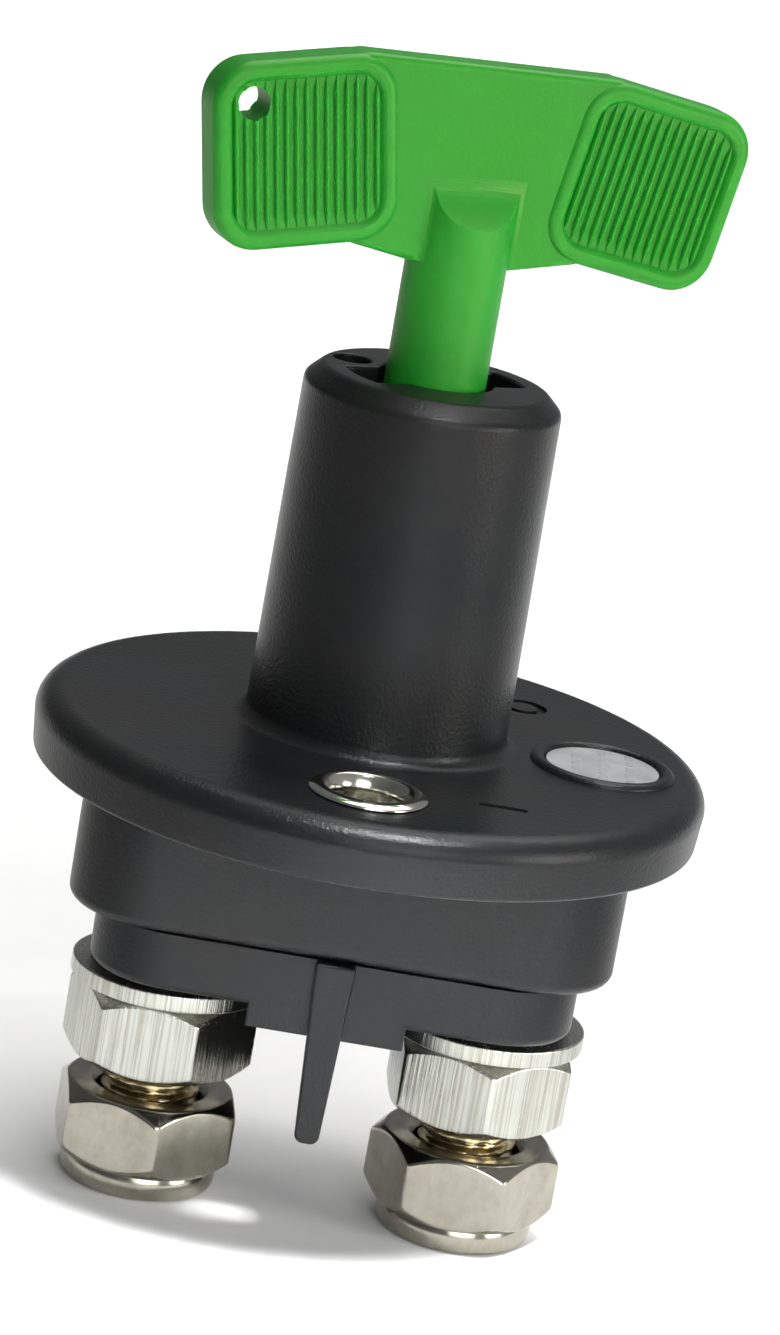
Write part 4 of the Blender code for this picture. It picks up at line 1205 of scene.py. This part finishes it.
# %% [markdown]
# ## The key
# The key is one moulding in bright green: a round shaft that runs up into a flat blade, with a wing on
# each side that droops ten degrees. Each wing is thicker than the middle and has a sunk pad. It is
# drawn flat, in its own frame with X along the blade, and turned into place at the end.

# %% Key sizes and outlines
KEY_TURN = math.radians(21.5)
BLADE_HALF = 2.1
BLADE_BEND = 12.84
BLADE_FOOT = FLANGE_TOP + 47.2
BLADE_EDGE = 1.0
WING_DROOP = math.radians(10.0)
WING_HALF = 2.5
WING_LENGTH = 15.8
WING_HEIGHT = 18.2
WING_INSET = 2.7
WING_CORNER = 4.2
RIM_WIDTH = 1.7
PAD_CORNER = 2.6
PAD_DEPTH = 0.55
SHAFT_RADIUS = 4.95
LANYARD_PLACE = (11.7, 4.0)
LANYARD_RADIUS = 1.6


def wing_point(along, down):
    """A point on the right wing, from its bend: along the top edge and down from it."""
    x = BLADE_BEND + along * math.cos(WING_DROOP) - down * math.sin(WING_DROOP)
    z = KEY_TOP - along * math.sin(WING_DROOP) - down * math.cos(WING_DROOP)
    return (x, z)


def wing_rectangle(left, top, right, bottom):
    return [wing_point(*corner) for corner in ((left, top), (right, top), (right, bottom), (left, bottom))]


def upright(name, outline, front, back, mirrored=False):
    """Extrude an (x, z) outline through the key's thickness, from y = front to y = back."""
    if mirrored:
        outline = [(-x, z) for x, z in outline]
    return turn(prism(name, outline, -back, -front), QUARTER, "X")


print("key blade", round(2 * wing_point(WING_LENGTH, 0)[0], 1), "mm wide")

# %% Blade and wings
def blade_middle():
    """The blade between the wings; its ends lie inside them, a hair within their top and foot."""
    inside = ((2.2, 0.06), (1.2, 1.2), (-1.6, 3.0), (-1.6, 15.0), (0.9, 17.0), (2.5, WING_HEIGHT - 0.06))
    half = [(BLADE_BEND, KEY_TOP)]
    half += [wing_point(*place) for place in inside]
    half.append((SHAFT_RADIUS - 0.5, BLADE_FOOT))
    outline = half + [(-x, z) for x, z in reversed(half)]
    blade = upright("blade", outline, -BLADE_HALF, BLADE_HALF)
    return round_edges(blade, BLADE_EDGE, 5, 50.0)


def wing_plate(mirrored):
    corners = wing_rectangle(-WING_INSET, 0.0, WING_LENGTH, WING_HEIGHT)
    outline = round_corners(corners, [WING_CORNER] * 4, 12)
    wing = upright("wing", outline, -WING_HALF, WING_HALF, mirrored)
    return round_edges(wing, BLADE_EDGE, 5, 50.0)


# how far each ring of a pad's wall stands out, and how deep it lies
PAD_WALL = ((-0.25, PAD_DEPTH), (-0.05, 0.35), (0.05, 0.2), (0.3, 0.03), (0.55, -0.06), (0.6, -1.0))


def pad_cutter(mirrored, face):
    """A cutter with sloping walls, so that the rim's inner edge is soft; face is -1 in front, 1 behind."""
    rings = []
    for grow_by, depth in PAD_WALL:
        reach = RIM_WIDTH - grow_by
        corners = wing_rectangle(reach - WING_INSET, reach, WING_LENGTH - reach, WING_HEIGHT - reach)
        outline = round_corners(corners, [PAD_CORNER + grow_by] * 4, 8)
        side = -1 if mirrored else 1
        rings.append([(side * x, face * (WING_HALF - depth), z) for x, z in outline])
    return stack_rings("pad_cutter", rings)


key = blade_middle()
for mirrored in (False, True):
    wing = wing_plate(mirrored)
    for face in (-1, 1):
        cut(wing, pad_cutter(mirrored, face))
    join(key, wing)
print("blade and wings:", len(key.data.polygons), "faces")

# %% [markdown]
# The shaft runs up into the blade. Four small fillets blend its sides into the blade's faces, and a
# hollow is scooped out of its front and its back, so that the moulding has no thick lump where they
# meet. Shaft, fillets and lugs are joined and scooped first, and their edges rounded, because a bevel
# is safest on a simple solid.

# %% Shaft, fillets and lugs
FILLET_RADIUS = 1.6
FILLET_CENTRE = (5.4, BLADE_HALF + FILLET_RADIUS - 0.04)
SCOOP_RADIUS = 6.35
SCOOP_OUT = 8.42
SCOOP_HEIGHT = BLADE_FOOT + 9.6
LUG_REACH = 8.4
LUG_HALF = 1.2
LUG_TOP = TOWER_TOP - LEDGE_THICKNESS - 0.3
LUG_HEIGHT = 4.0
TIP_CHAMFER = 0.7


def shaft_fillet(side_x, side_y):
    """The concave strip between the round shaft and the blade's face, on one of four corners."""
    toward_shaft = math.pi - math.atan2(FILLET_CENTRE[1], FILLET_CENTRE[0])
    curve = arc((FILLET_CENTRE[0], -FILLET_CENTRE[1]), FILLET_RADIUS, QUARTER, toward_shaft, 10)
    outline = curve + [(3.2, -1.9), (3.2, -1.0), (FILLET_CENTRE[0], -1.0)]
    outline = [(side_x * x, -side_y * y) for x, y in outline]
    return prism("fillet", outline, BLADE_FOOT + 0.4, SCOOP_HEIGHT - 0.3)


def make_shaft():
    shaft = lathe("shaft", [(SHAFT_RADIUS - TIP_CHAMFER, KEY_TIP), (SHAFT_RADIUS, KEY_TIP + TIP_CHAMFER),
                            (SHAFT_RADIUS, SCOOP_HEIGHT - 0.2)], 96)
    join(shaft, *[shaft_fillet(side_x, side_y) for side_x in (-1, 1) for side_y in (-1, 1)])
    for side in (-1, 1):
        scoop = turn(lathe("scoop", [(SCOOP_RADIUS, -9.0), (SCOOP_RADIUS, 9.0)], 128), QUARTER, "Y")
        cut(shaft, shift(scoop, 0.0, side * SCOOP_OUT, SCOOP_HEIGHT))
    lugs = prism("lugs", bow_tie(LUG_REACH, LUG_HALF, 6), LUG_TOP - LUG_HEIGHT, LUG_TOP)
    join(shaft, lugs)
    return round_edges(shaft, 0.22, 3, 45.0)


join(key, make_shaft())
print("key with its shaft:", len(key.data.polygons), "faces")

# %% Lanyard hole
def lanyard_cutter():
    x, z = wing_point(*LANYARD_PLACE)
    hole = turn(lathe("hole", [(LANYARD_RADIUS, -5.0), (LANYARD_RADIUS, 5.0)], 48), QUARTER, "X")
    return shift(hole, -x, 0.0, z)


cut(key, lanyard_cutter())
print("key body:", len(key.data.polygons), "faces")

# %% Bright green
GREEN_PLASTIC = moulded_plastic(
    "green_plastic", (0.006, 0.220, 0.012), (0.010, 0.240, 0.018), (0.42, 0.52), 1700.0, 0.00003, 0.4)
LIGHT_THROUGH = {
    "Subsurface Weight": 0.45,
    "Subsurface Radius": (0.2, 1.0, 0.3),
    "Subsurface Scale": 2.5 * MM,
    "Specular Tint": (1.0, 1.0, 0.55, 1.0),
}
green_shader = GREEN_PLASTIC.node_tree.nodes["Principled BSDF"]
for socket_name, value in LIGHT_THROUGH.items():
    green_shader.inputs[socket_name].default_value = value
key.name = "key_body"
finish(turn(key, KEY_TURN), GREEN_PLASTIC, "key", "key")

# %% [markdown]
# ## Ribs on the pads
# Fifteen fine ribs fill each pad, at the front and the back of both wings. They repeat, so a tree sets
# them on a line, and shortens the outer ones to follow the pad's round corners. One rib is a slim rod,
# half sunk in the pad's floor, that thins out at both ends.

# %% Rib tree
RIB_COUNT = 15
RIB_PITCH = 1.0
RIB_RADIUS = 0.30
RIB_RISE = 0.46
RIB_TAPER = 0.09                            # share of its length that thins out, at each end
RIB_TIP = 0.12                              # how thin it ends


def make_rib_tree():
    tree, given, result = new_tree("ribs", Count=RIB_COUNT, Pitch=RIB_PITCH, Rib_radius=RIB_RADIUS,
                                   Rib_rise=RIB_RISE, Width=15.0, Height=15.0, Corner=PAD_CORNER)
    rod = add_node(tree, "GeometryNodeMeshCylinder", Vertices=10, Side_Segments=12,
                   Radius=given["Rib radius"], Depth=1.0)
    place = position_parts(tree)
    to_end = maths(tree, "SUBTRACT", 0.5, maths(tree, "ABSOLUTE", place["Z"]))
    slim = span(tree, to_end, 0.0, RIB_TAPER, RIB_TIP, 1.0)
    taller = maths(tree, "DIVIDE", given["Rib rise"], given["Rib radius"])
    raised = maths(tree, "MULTIPLY", place["Y"], taller)
    thinned = vector(tree, X=maths(tree, "MULTIPLY", place["X"], slim),
                     Y=maths(tree, "MULTIPLY", raised, slim), Z=place["Z"])
    rib = add_node(tree, "GeometryNodeSetPosition", Geometry=rod.outputs["Mesh"], Position=thinned)

    run = maths(tree, "MULTIPLY", maths(tree, "SUBTRACT", given["Count"], 1.0), given["Pitch"])
    first = vector(tree, X=maths(tree, "MULTIPLY", run, -0.5))
    row = add_node(tree, "GeometryNodeMeshLine", Count=given["Count"], Start_Location=first,
                   Offset=vector(tree, X=given["Pitch"]))

    out = maths(tree, "ABSOLUTE", place["X"])
    corner_start = maths(tree, "SUBTRACT", maths(tree, "DIVIDE", given["Width"], 2.0), given["Corner"])
    into = maths(tree, "MAXIMUM", maths(tree, "SUBTRACT", out, corner_start), 0.0)
    into = maths(tree, "MINIMUM", into, given["Corner"])
    corner_squared = maths(tree, "MULTIPLY", given["Corner"], given["Corner"])
    into_squared = maths(tree, "MULTIPLY", into, into)
    rise = maths(tree, "SQRT", maths(tree, "SUBTRACT", corner_squared, into_squared))
    lost = maths(tree, "SUBTRACT", given["Corner"], rise)
    length = maths(tree, "SUBTRACT", given["Height"], maths(tree, "MULTIPLY", lost, 2.0))
    laid = add_node(tree, "GeometryNodeInstanceOnPoints", Points=row.outputs[0], Instance=rib.outputs[0],
                    Scale=vector(tree, X=1.0, Y=1.0, Z=length))
    return end_tree(tree, laid.outputs[0], given, result)


# %% Ribs in place
def pad_ribs(tree, mirrored, face):
    """The ribs of one pad, drawn upright round the pad's middle, then tilted and moved into it."""
    width = WING_LENGTH + WING_INSET - 2.0 * RIM_WIDTH
    height = WING_HEIGHT - 2.0 * RIM_WIDTH
    ribs = grow("ribs", tree, Width=width, Height=height - 0.3, Finish=GREEN_PLASTIC)
    side = -1 if mirrored else 1
    x, z = wing_point((WING_LENGTH - WING_INSET) / 2.0, WING_HEIGHT / 2.0)
    turn(ribs, side * WING_DROOP, "Y")
    return shift(ribs, side * x, face * (WING_HALF - PAD_DEPTH), z)


def join_all(name, things):
    bm = bmesh.new()
    for thing in things:
        bm.from_mesh(thing.data)
        bpy.data.objects.remove(thing)
    return from_bmesh(name, bm)


rib_tree = make_rib_tree()
every_rib = [pad_ribs(rib_tree, mirrored, face) for mirrored in (False, True) for face in (-1, 1)]
key_ribs = join_all("key_ribs", every_rib)
cut(key_ribs, lanyard_cutter())
finish(turn(key_ribs, KEY_TURN), GREEN_PLASTIC, "key")

# %% [markdown]
# ## The end
# The number of finished pieces is printed.

# %% Pieces
print(len(finished_pieces), "pieces finished")
